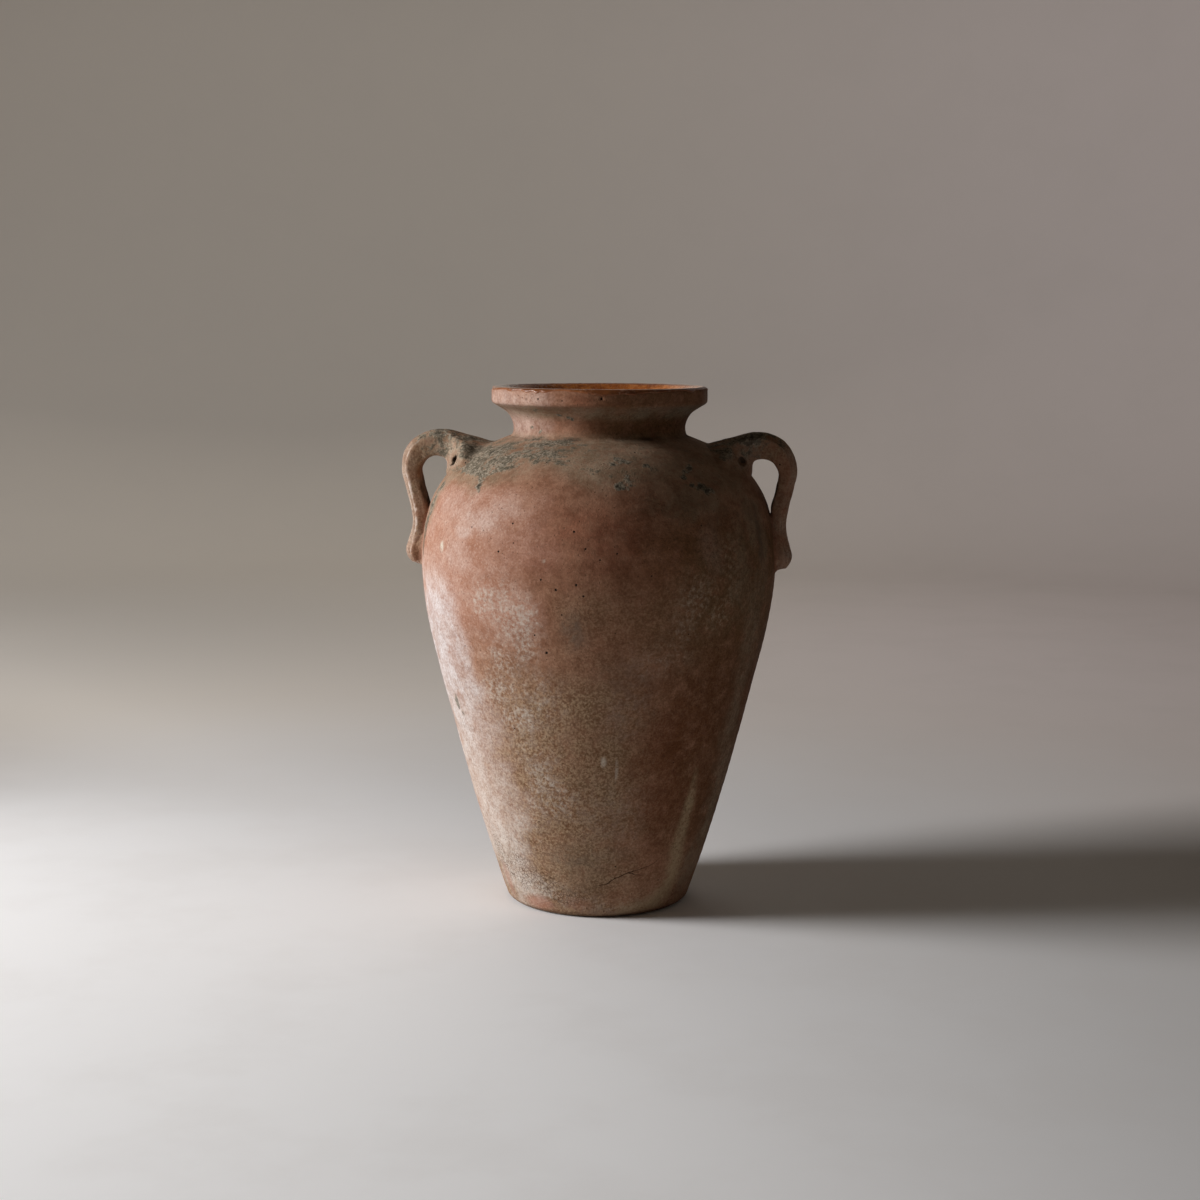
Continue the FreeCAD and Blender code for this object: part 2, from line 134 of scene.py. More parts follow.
J_BASE = Joint(13.0, 78.1, 67.6, 0.33, 0.33, 0.33, 4.0)
J_LOWER = Joint(150.0, 118.2, 108.48, 0.27, 0.27, 0.27, 4.0)
J_UPPER = Joint(318.0, 138.5, 128.9, -0.33, -0.33, -0.33, 4.0)
J_NECK = Joint(380.6, 70.9, 59.5, -2.45, -0.40, 0.0, 3.0)
J_RIM = Joint(402.0, 78.8, 62.13, 1.64, 1.64, 0.58, 3.0)

OUT_BASE = [(0.0, 0.0, None), (68.5, 0.0, (7.2, 1)), (75.4, 5.5, None), J_BASE.low]
OUT_LOWER = [J_BASE.high + ((1765.0, 1),), J_LOWER.low]
OUT_BELLY = [J_LOWER.high + ((2177.0, 1),), (135.05, 216.0, (305.7, 1)), (143.5, 276.0, (148.8, 1)), J_UPPER.low]
OUT_SHOULDER = [J_UPPER.high + ((75.0, 1),), (122.1, 349.7, (89.8, 1)), (93.3, 371.7, (2582.0, 1)), J_NECK.low]
OUT_NECK = [J_NECK.high + ((9.5, -1),), (69.25, 386.2, (18.0, -1)), J_RIM.low]
OUT_RIM = [J_RIM.high + (None,), (85.37, 406.0, (3.36, 1)), (87.0, 408.88, None), (87.0, 415.7, (3.65, 1)),
           (83.35, 419.35, (5.46, 1)), (80.0, 418.2)]

OUTLINE = np.concatenate([run(o, 0.25) for o in (OUT_BASE, OUT_LOWER, OUT_BELLY, OUT_SHOULDER, OUT_NECK, OUT_RIM)])
ARC = np.concatenate([[0.0], np.cumsum(np.hypot(*np.diff(OUTLINE, axis=0).T))])


def outline_normals():
    """Outward normal at each outline sample, eased over about a millimetre."""
    even = np.arange(0.0, ARC[-1], 0.2)
    r, z = np.interp(even, ARC, OUTLINE[:, 0]), np.interp(even, ARC, OUTLINE[:, 1])
    t = np.stack([np.gradient(r), np.gradient(z)], 1)
    t /= np.linalg.norm(t, axis=1)[:, None]
    k = np.hanning(13)
    k /= k.sum()
    pad = np.pad(t, ((6, 6), (0, 0)), mode="edge")
    t = np.stack([np.convolve(pad[:, c], k, "valid") for c in (0, 1)], 1)
    n = np.stack([t[:, 1], -t[:, 0]], 1)
    n /= np.linalg.norm(n, axis=1)[:, None]
    return even, n


EVEN, EVEN_N = outline_normals()
RISING = np.maximum.accumulate(OUTLINE[:, 1])
UPWARD = np.concatenate([[True], np.diff(RISING) > 1e-6]) & (ARC < ARC[np.argmax(OUTLINE[:, 1])])


def arc_at(z):
    """Length along the outline at a height on the outside."""
    return np.interp(z, OUTLINE[UPWARD, 1], ARC[UPWARD])


def locate(rows):
    """(length along the outline, normal) of rows that lie on it."""
    at = np.empty(len(rows))
    for i, p in enumerate(rows):
        at[i] = ARC[np.argmin(((OUTLINE - p) ** 2).sum(1))]
    n = np.stack([np.interp(at, EVEN, EVEN_N[:, c]) for c in (0, 1)], 1)
    return at, n / np.linalg.norm(n, axis=1)[:, None]


# ============================================================== relief and masks

# Dents, nicks and larger pits: angle from the front in degrees (right is +),
# height, half width, half height, depth in mm.
DENTS = [
    (-64.0, 170.3, 3.2, 6.2, 0.9), (-60.0, 176.5, 2.0, 3.0, 0.6),
    (-33.0, 411.2, 1.5, 1.3, 0.8), (8.0, 412.8, 1.4, 1.5, 0.9), (61.0, 410.6, 1.6, 1.2, 0.6),
    (-128.0, 412.0, 2.2, 1.6, 0.9), (140.0, 411.5, 1.7, 1.7, 0.8), (176.0, 413.6, 2.6, 1.4, 0.8),
    (-20.0, 7.0, 4.0, 2.2, 0.5), (24.0, 6.0, 3.4, 2.0, 0.5), (66.0, 5.6, 5.0, 2.4, 0.8), (-74.0, 6.2, 4.4, 2.6, 0.7),
    (118.0, 6.0, 5.6, 2.6, 0.9), (-142.0, 5.6, 4.2, 2.4, 0.7), (171.0, 6.4, 3.6, 2.2, 0.6),
    (152.0, 288.0, 4.6, 3.4, 0.7), (-118.0, 214.0, 4.0, 5.2, 0.8), (98.0, 120.0, 3.6, 3.6, 0.7),
    (-165.0, 96.0, 5.0, 3.6, 0.8), (128.0, 204.0, 3.0, 4.4, 0.6), (-152.0, 322.0, 3.4, 3.0, 0.6),
]


def turn(a, b):
    return (a - b + 180.0) % 360.0 - 180.0


def quiet(phi, z):
    """1 on the plain wall, 0 where a handle is luted on, so that it seats closely."""
    side = np.minimum(np.abs(turn(phi, 90.0)), np.abs(turn(phi, -90.0)))
    root = smooth(42.0, 32.0, side) * smooth(330.0, 342.0, z) * smooth(386.0, 378.0, z)
    tail = smooth(15.0, 9.5, side) * smooth(256.0, 265.0, z) * smooth(335.0, 312.0, z)
    return 1.0 - np.maximum(root, tail)


def relief(p, arc):
    """How far the handmade surface stands off the true outline, in mm."""
    phi = np.degrees(np.arctan2(p[:, 0], -p[:, 1]))
    z, r = p[:, 2], np.hypot(p[:, 0], p[:, 1])
    d = 0.46 * noise(p, 130.0, 11) + 0.30 * noise(p, 52.0, 12) + 0.17 * noise(p, 21.0, 13)
    d += 0.05 * noise(p, 9.0, 14) + 0.02 * noise(p, 4.2, 17)
    drift = p * np.array((1.0, 1.0, 0.15))
    d += 0.06 * np.sin(2.0 * np.pi * (arc / 8.6 + 0.55 * noise(drift, 75.0, 15))) * smooth(16.0, 40.0, z)
    d *= 1.0 - 0.74 * smooth(378.0, 388.0, z)
    # soft finger marks round the rim band
    d += 0.05 * noise(p * np.array((1.0, 1.0, 0.4)), 26.0, 16) * smooth(404.0, 410.0, z)
    for phi0, z0, wide, high, deep in DENTS:
        e = np.hypot(r * np.radians(turn(phi, phi0)) / wide, (arc - arc_at(z0)) / high)
        d -= deep * smooth(1.25, 0.35, e + 0.25 * noise(p, 3.5, 18))
    d *= quiet(phi, z)
    d *= smooth(0.0, 11.0, z) * (0.25 + 0.75 * smooth(0.0, 22.0, z))
    return d * np.where((z > 410.0) & (r < 84.0), smooth(80.2, 83.2, r), 1.0)


# Patches of weathering: angle from the front, height, half width, half height, strength.
RED = [(-24, 300, 30, 16, .75), (-14, 306, 30, 22, .9), (2, 316, 40, 20, .8), (14, 296, 44, 30, .75), (10, 236, 34, 34, .7),
       (32, 152, 26, 40, 1.0), (35, 100, 22, 34, 1.0), (30, 62, 16, 22, .8), (22, 196, 26, 30, .7),
       (-28, 281, 12, 7, .6), (-46, 274, 14, 10, .5), (45, 158, 18, 24, .7), (-30, 9, 14, 7, .8), (-8, 12, 10, 5, .5), (8, 24, 22, 8, .5),
       (-39, 303, 7, 5, .6), (50, 318, 24, 20, .4), (100, 240, 46, 34, .8), (118, 132, 34, 40, .8), (160, 290, 50, 30, .8),
       (178, 196, 40, 36, .7), (-150, 262, 44, 28, .8), (-128, 150, 34, 44, .8), (-168, 84, 30, 36, .8), (-100, 304, 26, 22, .5), (146, 60, 34, 22, .7), (-3, 411, 12, 5, .8), (12, 409, 10, 4, .6)]
# pale patches: a whitish haze, partly a painted highlight where they gather on the lit left side
PALE_AND_HIGHLIGHT = [(-34, 321, 20, 8, .8), (-41, 311, 10, 5, 1.0), (-44, 292, 20, 12, .6), (-52, 262, 16, 24, .7), (-55, 232, 15, 26, .8),
        (-47, 216, 14, 24, .8), (-46, 184, 15, 18, .8), (-52, 158, 13, 20, .75), (-54, 122, 10, 26, .6), (-58, 84, 9, 22, .5),
        (-26, 330, 16, 7, .4), (-62, 200, 12, 70, .9), (-50, 62, 26, 56, 1.0), (-44, 25, 26, 13, .95), (-40, 104, 17, 40, .65), (-46, 145, 24, 40, .6),
        (-57, 411, 34, 9, .50), (-30, 411, 22, 7, .4), (-54, 392, 30, 14, .54), (-48, 330, 20, 12, .5), (120, 411, 50, 8, .5), (-150, 411, 40, 8, .6), (120, 40, 34, 30, .5), (-120, 60, 30, 40, .6), (44, 300, 12, 16, .3), (130, 300, 26, 16, .6), (-140, 300, 30, 18, .6),
        (166, 240, 24, 30, .6), (-112, 240, 20, 40, .7), (108, 180, 20, 30, .6), (-176, 140, 30, 26, .6), (140, 104, 22, 30, .5)]
EFFLO = [(-25, 262, 13, 14, .9), (-31, 260, 13, 12, .8), (-19, 246, 14, 16, .9), (-17, 228, 13, 15, .8), (-27, 214, 18, 22, .7), (-29, 190, 13, 15, .9),
         (-23, 168, 14, 15, .8), (-14, 186, 14, 22, .6), (-16, 120, 13, 26, .8), (-10, 100, 12, 15, .7), (-30, 76, 16, 18, .6), (-22, 146, 14, 16, .6),
         (-24, 22, 14, 9, .8), (-40, 16, 16, 9, .7), (-8, 14, 18, 6, .6), (24, 10, 22, 5, .6), (-50, 40, 14, 16, .6),
         (40, 264, 14, 16, .7), (47, 246, 12, 16, .7), (52, 290, 12, 18, .6), (37, 240, 12, 13, .5), (20, 174, 14, 20, .4), (14, 90, 30, 22, .35), (31, 223, 17, 13, .48), (24, 213, 12, 10, .32),
         (110, 280, 30, 20, .7), (140, 230, 26, 30, .8), (-170, 250, 30, 22, .7), (-130, 190, 26, 30, .8), (-108, 120, 22, 34, .8),
         (165, 120, 28, 26, .7), (-150, 40, 40, 14, .7), (100, 60, 26, 30, .6), (130, 20, 40, 8, .7), (-96, 30, 26, 14, .7), (178, 20, 30, 8, .6)]
CLOUD = [(-1, 243, 10, 17, .8), (-6, 54, 15, 9, .55), (14, 206, 18, 14, .25), (-71, 308, 4, 20, .6), (-75, 322, 6, 24, .7), (152, 180, 22, 26, .7), (-142, 110, 18, 24, .6), (84, 214, 16, 30, .5)]
CRACKLE = [(-40, 34, 20, 15, 1.0), (-24, 30, 14, 11, 1.0), (-12, 17, 16, 8, .8), (-56, 44, 10, 18, .7), (26, 36, 18, 10, .35),
           (128, 34, 30, 18, .9), (-150, 52, 26, 20, .9), (172, 30, 20, 14, .7)]
BLOTS = [(14.5, 348.4, 6.0, 4.4), (18.0, 353.0, 4.2, 6.4), (17.0, 366.5, 6.6, 3.6), (12.5, 364, 4.2, 2.8), (26.2, 363.3, 3.4, 2.6), (46, 360.2, 5.2, 4.2), (42.2, 358.4, 3.4, 2.8),
         (40.1, 353.9, 2.4, 2.4), (42.0, 348.2, 5.6, 3.2), (45.4, 346.6, 6.0, 3.6), (48.6, 344.4, 5.6, 3.6), (-40.4, 346, 4.6, 6.0), (-42.4, 350, 4.2, 5.0), (-72, 338, 2.8, 4.0), (-48, 373.5, 4.5, 2.6), (-41.5, 373.0, 4.0, 2.4), (-52.5, 369.5, 4.0, 3.0), (-16, 377.6, 5.0, 1.8), (-9.5, 377.8, 4.0, 1.6), (-33, 376.2, 4.0, 2.0), (-24, 376.8, 4.0, 1.6),
         (-43.3, 388.6, 3.0, 1.8), (-35.1, 386.0, 2.2, 2.0), (-17.9, 399.7, 2.2, 1.3), (-12.0, 397.8, 1.8, 1.4), (-9.8, 396.5, 1.4, 1.5), (-34.9, 402.7, 1.6, 1.0),
         (120, 352, 8, 5), (128, 344, 6, 5), (-150, 340, 8, 7), (170, 346, 8, 5), (-118, 346, 7, 7), (104, 338, 5, 6)]
MARKS = [(9.1, 135.5, 1.9, 4.2, .75), (14.2, 128.5, 1.0, 9.0, .65), (-51.8, 297.6, 2.6, 3.8, 1.0), (-9.8, 293.7, 0.9, 0.9, .9), (-102, 202, 2.0, 7.0, .6), (156, 150, 1.5, 9.0, .6), (125, 254, 1.2, 7.0, .5)]
STREAK = [(50.8, 122.0), (51.4, 109.0), (52.0, 95.3), (51.3, 76.0), (50.6, 59.4), (52.0, 44.0), (53.0, 30.0), (49.5, 17.0), (42.0, 10.4), (32.0, 8.0), (21.0, 7.0)]
CRACK = [(7.5, 28.9), (9.3, 29.9), (13.1, 31.4), (15.2, 34.6), (16.8, 35.7), (20.5, 37.9), (24.0, 40.0), (29.0, 42.0), (33.2, 43.6), (37.5, 46.0), (40.5, 50.2)]
FILM = [(-68, 331, 8, 14, .9), (-72, 313, 5, 18, .8), (-3, 42, 26, 20, .34), (40, 338, 34, 14, .8), (66, 322, 16, 22, .75), (58, 292, 12, 40, .5), (72, 300, 9, 40, .6), (-120, 330, 30, 12, .6), (120, 332, 34, 12, .6),
        (75, 84, 13, 58, .75), (70, 170, 11, 54, .6), (66, 34, 9, 22, .7), (68, 232, 13, 46, .55)]
FOOT = [(-31, 8.5, 13, 6, 1.0), (-56, 24, 5, 16, .7), (-4, 12, 10, 4.5, .5), (22, 16, 16, 5, .4), (118, 12, 18, 6, .8), (-128, 10, 16, 6, .9)]
BRANCH = [(23.4, 39.6), (25.4, 38.9), (27.1, 37.7), (30.2, 36.5), (33.6, 36.6)]

SOOT_LOW = np.array([(-180, 350), (-160, 356), (-146, 344), (-128, 352), (-110, 342), (-90, 350), (-75, 350), (-62, 352), (-56, 352), (-49, 352), (-44, 350), (-41, 348),
                     (-37, 353), (-30, 356), (-20, 360), (-13, 363), (-6, 361), (2, 357), (8, 351), (15, 350), (22, 350), (38, 351),
                     (50, 346), (66, 340), (90, 350), (108, 344), (126, 354), (150, 346), (180, 350)], float)
SOOT_STRONG = np.array([(-180, .7), (-140, .85), (-100, .8), (-66, .95), (-45, 1.14), (-22, 1.12), (-12, .9), (-4, .62), (10, .5), (30, .46), (60, .42), (90, .55), (130, .75), (180, .7)])


def spread(patches, p, arc, phi, r, ragged, soft=0.75):
    """Strongest of a list of soft-edged patches at each point."""
    out = np.zeros(len(p))
    for phi0, z0, wide, high, strong in patches:
        e = np.hypot(r * np.radians(turn(phi, phi0)) / wide, (arc - arc_at(z0)) / high)
        out = np.maximum(out, strong * smooth(1.0 + soft, 1.0 - soft, e + ragged))
    return out


def along(line, arc, phi, r):
    """Signed distance in mm from a polyline of (angle, height), and 0..1 along it."""
    best = np.full(len(arc), 1e9)
    signed, share = np.zeros(len(arc)), np.zeros(len(arc))
    n = len(line) - 1
    for k in range(n):
        (f0, z0), (f1, z1) = line[k], line[k + 1]
        ax, ay = r * np.radians(turn(phi, f0)), arc - arc_at(z0)
        bx, by = r * np.radians(turn(f1, f0)), arc_at(z1) - arc_at(z0)
        t = (ax * bx + ay * by) / (bx * bx + by * by)
        tc = np.clip(t, 0.0, 1.0)
        d = np.hypot(ax - tc * bx, ay - tc * by)
        nearer = d < best
        cross = (bx * ay - by * ax) / np.hypot(bx, by)
        best = np.where(nearer, d, best)
        signed = np.where(nearer, np.where(cross >= 0, d, -d), signed)
        share = np.where(nearer, (k + tc) / n, share)
    return signed, share, best


def body_masks(p, arc):
    """Weathering of the wall as three-part attributes, from places on the jar, with painted shade on the right side and
    in creases, and a pale haze that is partly painted highlight on the lit left side.
    """
    phi = np.degrees(np.arctan2(p[:, 0], -p[:, 1]))
    z, r = p[:, 2], np.hypot(p[:, 0], p[:, 1])
    wide, mid, small = fbm(p, 46.0, 41, 3), fbm(p, 17.0, 42, 3), fbm(p, 6.0, 43, 2)
    ragged = 0.32 * wide + 0.26 * mid + 0.12 * small
    low = np.interp(phi, SOOT_LOW[:, 0], SOOT_LOW[:, 1])
    edge = arc - arc_at(low) + 3.2 * mid + 2.2 * small
    soot = smooth(-1.5, 4.5, edge) * np.interp(phi, SOOT_STRONG[:, 0], SOOT_STRONG[:, 1])
    soot *= 0.74 + 0.30 * wide + 0.22 * mid
    # the neck keeps only a little, in the crease and under the rim on the left
    neck = smooth(379.5, 382.5, z)
    left = smooth(60.0, 10.0, np.abs(turn(phi, -40.0)))
    soot *= 1.0 - neck * (1.0 - 0.55 * smooth(388.0, 381.0, z) - 0.30 * left * smooth(0.1, 0.6, small + mid))
    soot = np.maximum(soot, 0.34 * neck * smooth(398.0, 403.0, z) * smooth(409.0, 405.0, z) * (0.8 + mid))
    crown = spread([(-50, 373, 18, 6.5, .98), (-30, 376, 20, 5.5, .98), (-10, 377, 18, 3.5, .8)], p, arc, phi, r, ragged)
    soot = np.clip(np.maximum(soot, crown * (1.0 - neck)), 0.0, 1.05)
    blots = spread([b + (1.16,) for b in BLOTS], p, arc, phi, r, 0.55 * small + 0.35 * mid, 0.85)
    soot = np.maximum(soot, blots)
    soot = np.maximum(soot, spread([(-70, 341, 10, 8, 1.04), (-70, 327, 8, 11, 1.0), (-71, 311, 6, 11, .92), (-58.5, 172, 4.5, 8, .98), (-55, 163, 3, 4, .85)], p, arc, phi, r, 1.2 * ragged))
    low = low - np.interp(phi, [-110, -92, -77, -63, -52], [0, 8, 20, 8, 0])
    film = smooth(-17.0, 11.0, arc - arc_at(low) + 9.0 * wide + 5.0 * mid) * np.interp(phi, [-180, -90, -50, -10, 20, 60, 100, 180], [.8, .8, .85, .95, .85, .7, .7, .8])
    film = np.maximum(film, spread(FILM, p, arc, phi, r, 1.1 * ragged + 0.25 * small))
    film *= 1.0 - neck * (1.0 - 0.6 * smooth(388.0, 381.0, z))
    film = np.maximum(film, 0.9 * neck * smooth(393.0, 400.0, z) * smooth(408.0, 404.0, z) * (0.85 + 0.5 * mid))
    red = spread(RED, p, arc, phi, r, ragged)
    pale_and_highlight = spread(PALE_AND_HIGHLIGHT, p, arc, phi, r, 1.1 * ragged)
    efflo = spread([(a, b, 1.25 * c, 1.2 * d, e) for a, b, c, d, e in EFFLO], p, arc, phi, r, 1.25 * ragged, 0.95)
    cloud = spread(CLOUD, p, arc, phi, r, ragged)
    crackle = spread(CRACKLE, p, arc, phi, r, ragged)
    marks = spread(MARKS, p, arc, phi, r, 0.12 * small, 0.4)
    signed, share, best = along(STREAK, arc, phi, r)
    width = np.interp(share, [0, .15, .4, .7, 1], [2.6, 5.0, 7.6, 10.0, 6.5])
    streak = smooth(1.5, 0.1, best / width + 0.22 * mid) * np.interp(share, [0, .2, .8, 1], [.35, 1, .95, .5])
    # painted shade: the right side, turned away from the key light, and the neck under the rim are darkened to a deep
    # brown
    shade_and_wear = smooth(4.0, 46.0, phi + 8.0 * wide) * smooth(135.0, 98.0, phi) * smooth(24.0, 80.0, z) * smooth(350.0, 300.0, z)
    shade_and_wear = np.maximum(shade_and_wear, 0.95 * smooth(-16.0, 22.0, phi + 8.0 * wide) * smooth(140.0, 98.0, phi) * smooth(374.0, 384.0, z) * (1.0 - 0.3 * smooth(398.0, 404.0, z)))
    # a pale strip down the left edge that faces the key light: real haze with a painted highlight
    strip = smooth(-38.0, -54.0, phi + 5.0 * wide) * smooth(-110.0, -74.0, phi + 24.0 * wide + 12.0 * mid) * smooth(20.0, 54.0, z) * smooth(300.0, 250.0, z)
    strip *= np.clip(1.0 + 0.55 * wide + 0.45 * mid, 0.35, 1.0)
    pale_and_highlight = np.maximum(pale_and_highlight * np.where(z > 360.0, 1.0, 1.0 - 0.5 * smooth(262.0, 292.0, z)), 1.0 * strip)
    glow = smooth(-64.0, -76.0, phi + 7.0 * wide) * smooth(-122.0, -100.0, phi) * smooth(48.0, 66.0, z + 9.0 * mid) * smooth(134.0, 108.0, z + 9.0 * mid)
    pale_and_highlight *= 1.0 - 0.72 * glow
    tan = smooth(250.0, 170.0, z + 22.0 * wide + 8.0 * mid) * (0.82 + 0.25 * mid)
    tan = np.maximum(tan, 0.6 * smooth(-14.0, 18.0, phi + 10.0 * wide) * smooth(100.0, 60.0, phi) * smooth(300.0, 250.0, z))
    tan *= 1.0 - 0.6 * smooth(14.0, 40.0, phi + 8.0 * wide) * smooth(112.0, 84.0, phi)
    salmon = smooth(-100.0, -66.0, phi) * smooth(-1.0, -28.0, phi + 12.0 * wide) * smooth(205.0, 262.0, z) * smooth(351.0, 338.0, z)
    salmon = np.maximum(salmon, 0.8 * smooth(60.0, 20.0, np.abs(turn(phi, 140.0)) + 14.0 * wide) * smooth(215.0, 262.0, z) * smooth(349.0, 332.0, z))
    salmon = np.maximum(salmon, 0.9 * smooth(-20.0, -46.0, phi + 10 * wide) * smooth(-120.0, -84.0, phi) * smooth(40.0, 80.0, z) * smooth(250.0, 225.0, z) * 0.6)
    salmon = np.maximum(salmon, 0.9 * glow)
    salmon *= 1.0 - 0.42 * red * smooth(-42.0, -24.0, phi) * smooth(30.0, 10.0, phi)
    tan *= 1.0 - 0.55 * red * smooth(4.0, 20.0, phi) * smooth(80.0, 60.0, phi)
    foot = spread(FOOT, p, arc, phi, r, 0.8 * ragged, 0.6)
    pale_and_highlight, efflo, tan = pale_and_highlight * (1.0 - 0.75 * foot), efflo * (1.0 - 0.8 * foot), tan * (1.0 - 0.8 * foot)
    salmon = np.maximum(salmon, 0.85 * foot * smooth(10.0, -10.0, phi))
    red = np.maximum(red, 0.35 * foot)
    # painted shade, with some grime: darker on the underside and foot, in the neck crease, under the rim band, beside
    # the handle tails and on the front of the neck
    shade_and_grime = smooth(7.0, 1.0, z) * smooth(60.0, 74.0, r) * 0.55
    shade_and_grime = np.maximum(shade_and_grime, 0.5 * smooth(384.5, 381.0, np.abs(z - 381.0) + 381.0) * (0.7 + mid))
    shade_and_grime = np.maximum(shade_and_grime, 0.28 * smooth(400.5, 403.5, z) * smooth(408.6, 405.6, z))
    shade_and_grime = np.maximum(shade_and_grime, spread([(70, 304, 7, 26, .55), (-71, 300, 6, 24, .5), (24, 392, 60, 9, .30)], p, arc, phi, r, ragged))
    c1, s1, b1 = along(CRACK, arc, phi, r)
    c2, s2, b2 = along(BRANCH, arc, phi, r)
    w1 = np.interp(s1, [0, .06, .5, .9, 1], [.1, .8, 1, .5, .05])
    w2 = np.interp(s2, [0, .2, .8, 1], [1, .8, .5, .05])
    c1 = np.clip(c1 / np.maximum(w1, 0.05), -9.0, 9.0)
    c2 = np.clip(c2 / np.maximum(w2, 0.05), -9.0, 9.0)
    return {"mA": (np.clip(soot, 0, 1.2), pale_and_highlight, red), "mB": (np.clip(tan, 0, 1), efflo, cloud),
            "mC": (crackle, marks, np.clip(shade_and_grime, 0, 1)), "mD": (c1, c2, salmon), "mE": (np.clip(film, 0, 1), streak, shade_and_wear)}


# ====================================================================== meshes


def add_mesh(name, verts, faces, masks=None, sharp=None):
    me = bpy.data.meshes.new(name)
    me.from_pydata([tuple(v) for v in np.asarray(verts) * MM], [], faces)
    return finish_mesh(name, me, masks, sharp)


def finish_mesh(name, me, masks=None, sharp=None):
    me.validate()
    me.polygons.foreach_set("use_smooth", np.ones(len(me.polygons), bool))
    if sharp is not None:
        me.set_sharp_from_angle(angle=math.radians(sharp))
    for key, parts in (masks or {}).items():
        a = me.attributes.new(key, "FLOAT_VECTOR", "POINT")
        a.data.foreach_set("vector", np.stack(parts, 1).astype(np.float32).ravel())
    me.update()
    ob = bpy.data.objects.new(name, me)
    bpy.context.scene.collection.objects.link(ob)
    return ob


def ring_faces(counts, n, closed=True):
    """Faces between successive rings; counts holds n for a ring and 1 for a pole."""
    start = np.concatenate([[0], np.cumsum(counts)])
    faces = []
    j = np.arange(n)
    k = (j + 1) % n
    rows = len(counts)
    for i in range(rows if closed else rows - 1):
        a, b = i, (i + 1) % rows
        if counts[a] == n and counts[b] == n:
            faces += np.stack([start[a] + j, start[a] + k, start[b] + k, start[b] + j], 1).tolist()
        elif counts[a] == n:
            faces += np.stack([start[a] + j, start[a] + k, np.full(n, start[b])], 1).tolist()
        elif counts[b] == n:
            faces += np.stack([np.full(n, start[a]), start[b] + k, start[b] + j], 1).tolist()
    return faces


def turned(name, outer, rest, step, n, coarse=9.0, sharp=48.0):
    """Closed turned piece: outer is the weathered outside, rest closes the loop."""
    rows_out = run(outer, step)
    rows_rest = run(rest, coarse)
    pts = np.array([o[:2] for o in outer[-1:]] + [o[:2] for o in rest[:1]])
    if np.hypot(*(pts[0] - pts[1])) < 1e-6:
        rows_rest = rows_rest[1:]
    if np.hypot(*(rows_rest[-1] - rows_out[0])) < 1e-6:
        rows_rest = rows_rest[:-1]
    arc, normal = locate(rows_out)
    th = np.arange(n) * 2.0 * np.pi / n
    verts, arcs, counts = [], [], []
    for i, (r, z) in enumerate(rows_out):
        if r < 1e-6:
            verts.append(np.array([[0.0, 0.0, z]]))
            arcs.append(np.array([arc[i]]))
            counts.append(1)
            continue
        verts.append(np.stack([r * np.cos(th), r * np.sin(th), np.full(n, z)], 1))
        arcs.append(np.full(n, arc[i]))
        counts.append(n)
    base = np.concatenate(verts)
    arcs = np.concatenate(arcs)
    nn = np.repeat(normal, counts, axis=0)
    rr = np.hypot(base[:, 0], base[:, 1])
    out = np.stack([base[:, 0] / np.maximum(rr, 1e-9) * nn[:, 0], base[:, 1] / np.maximum(rr, 1e-9) * nn[:, 0], nn[:, 1]], 1)
    d = relief(base, arcs)
    moved = base + out * d[:, None]
    moved[:, 2] = np.maximum(moved[:, 2], 0.0)
    if outer[0][0] < 1e-6:
        # wire-cut marks under the foot, slightly hollowed
        flat = base[:, 2] < 1e-6
        q = base[flat]
        swirl = q[:, 0] * 0.35 + q[:, 1] + 0.012 * q[:, 0] ** 2
        lift = 0.16 * (0.5 + 0.5 * np.sin(2.0 * np.pi * (swirl / 5.2 + 0.25 * noise(q, 30.0, 51)))) + 0.25 * smooth(60.0, 10.0, np.hypot(q[:, 0], q[:, 1]))
        lift += 0.10 * (0.5 + 0.5 * noise(q, 5.0, 52))
        moved[flat, 2] = lift * smooth(68.4, 62.0, np.hypot(q[:, 0], q[:, 1]))
    masks = body_masks(base, arcs)
    extra = []
    for r, z in rows_rest:
        if r < 1e-6:
            extra.append(np.array([[0.0, 0.0, z]]))
            counts.append(1)
        else:
            extra.append(np.stack([r * np.cos(th), r * np.sin(th), np.full(n, z)], 1))
            counts.append(n)
    hidden = np.concatenate(extra)
    zero = np.zeros(len(hidden))
    masks = {k: tuple(np.concatenate([part, zero + (9.0 if (k == "mD" and c < 2) else 0.0)]) for c, part in enumerate(parts))
             for k, parts in masks.items()}
    faces = ring_faces(counts, n, closed=outer[0][0] > 1e-6)
    return add_mesh(name, np.concatenate([moved, hidden]), faces, masks, sharp)


FINE, ROUND = 1.35, 640
IN_LOWER = [J_LOWER.low, J_LOWER.vee_low, J_LOWER.in_low + ((1760.0, -1),), J_BASE.in_high, J_BASE.vee_high, J_BASE.high]
IN_BELLY = [J_UPPER.low, J_UPPER.vee_low, J_UPPER.in_low + ((139.8, -1),), (134.5, 276.2, (297.7, -1)), (126.07, 217.95, (2207.0, -1)),
            J_LOWER.in_high, J_LOWER.vee_high, J_LOWER.high]
IN_SHOULDER = [J_NECK.low, J_NECK.vee_low, J_NECK.in_low, (59.5, 378.85, (5.9, 1)), (63.2, 373.4, None), (88.85, 363.3, (81.4, -1)),
               (115.06, 343.6, (66.2, -1)), J_UPPER.in_high, J_UPPER.vee_high, J_UPPER.high]
IN_NECK = [J_RIM.low, J_RIM.vee_low, J_RIM.in_low + ((16.7, 1),), (59.5, 393.0, None), J_NECK.in_high, J_NECK.vee_high, J_NECK.high]
IN_RIM = [(80.0, 418.2, (40.0, 1)), J_RIM.in_high, J_RIM.vee_high, J_RIM.high]
IN_BASE = [J_BASE.low, J_BASE.vee_low, J_BASE.in_low, (0.0, 12.6)]

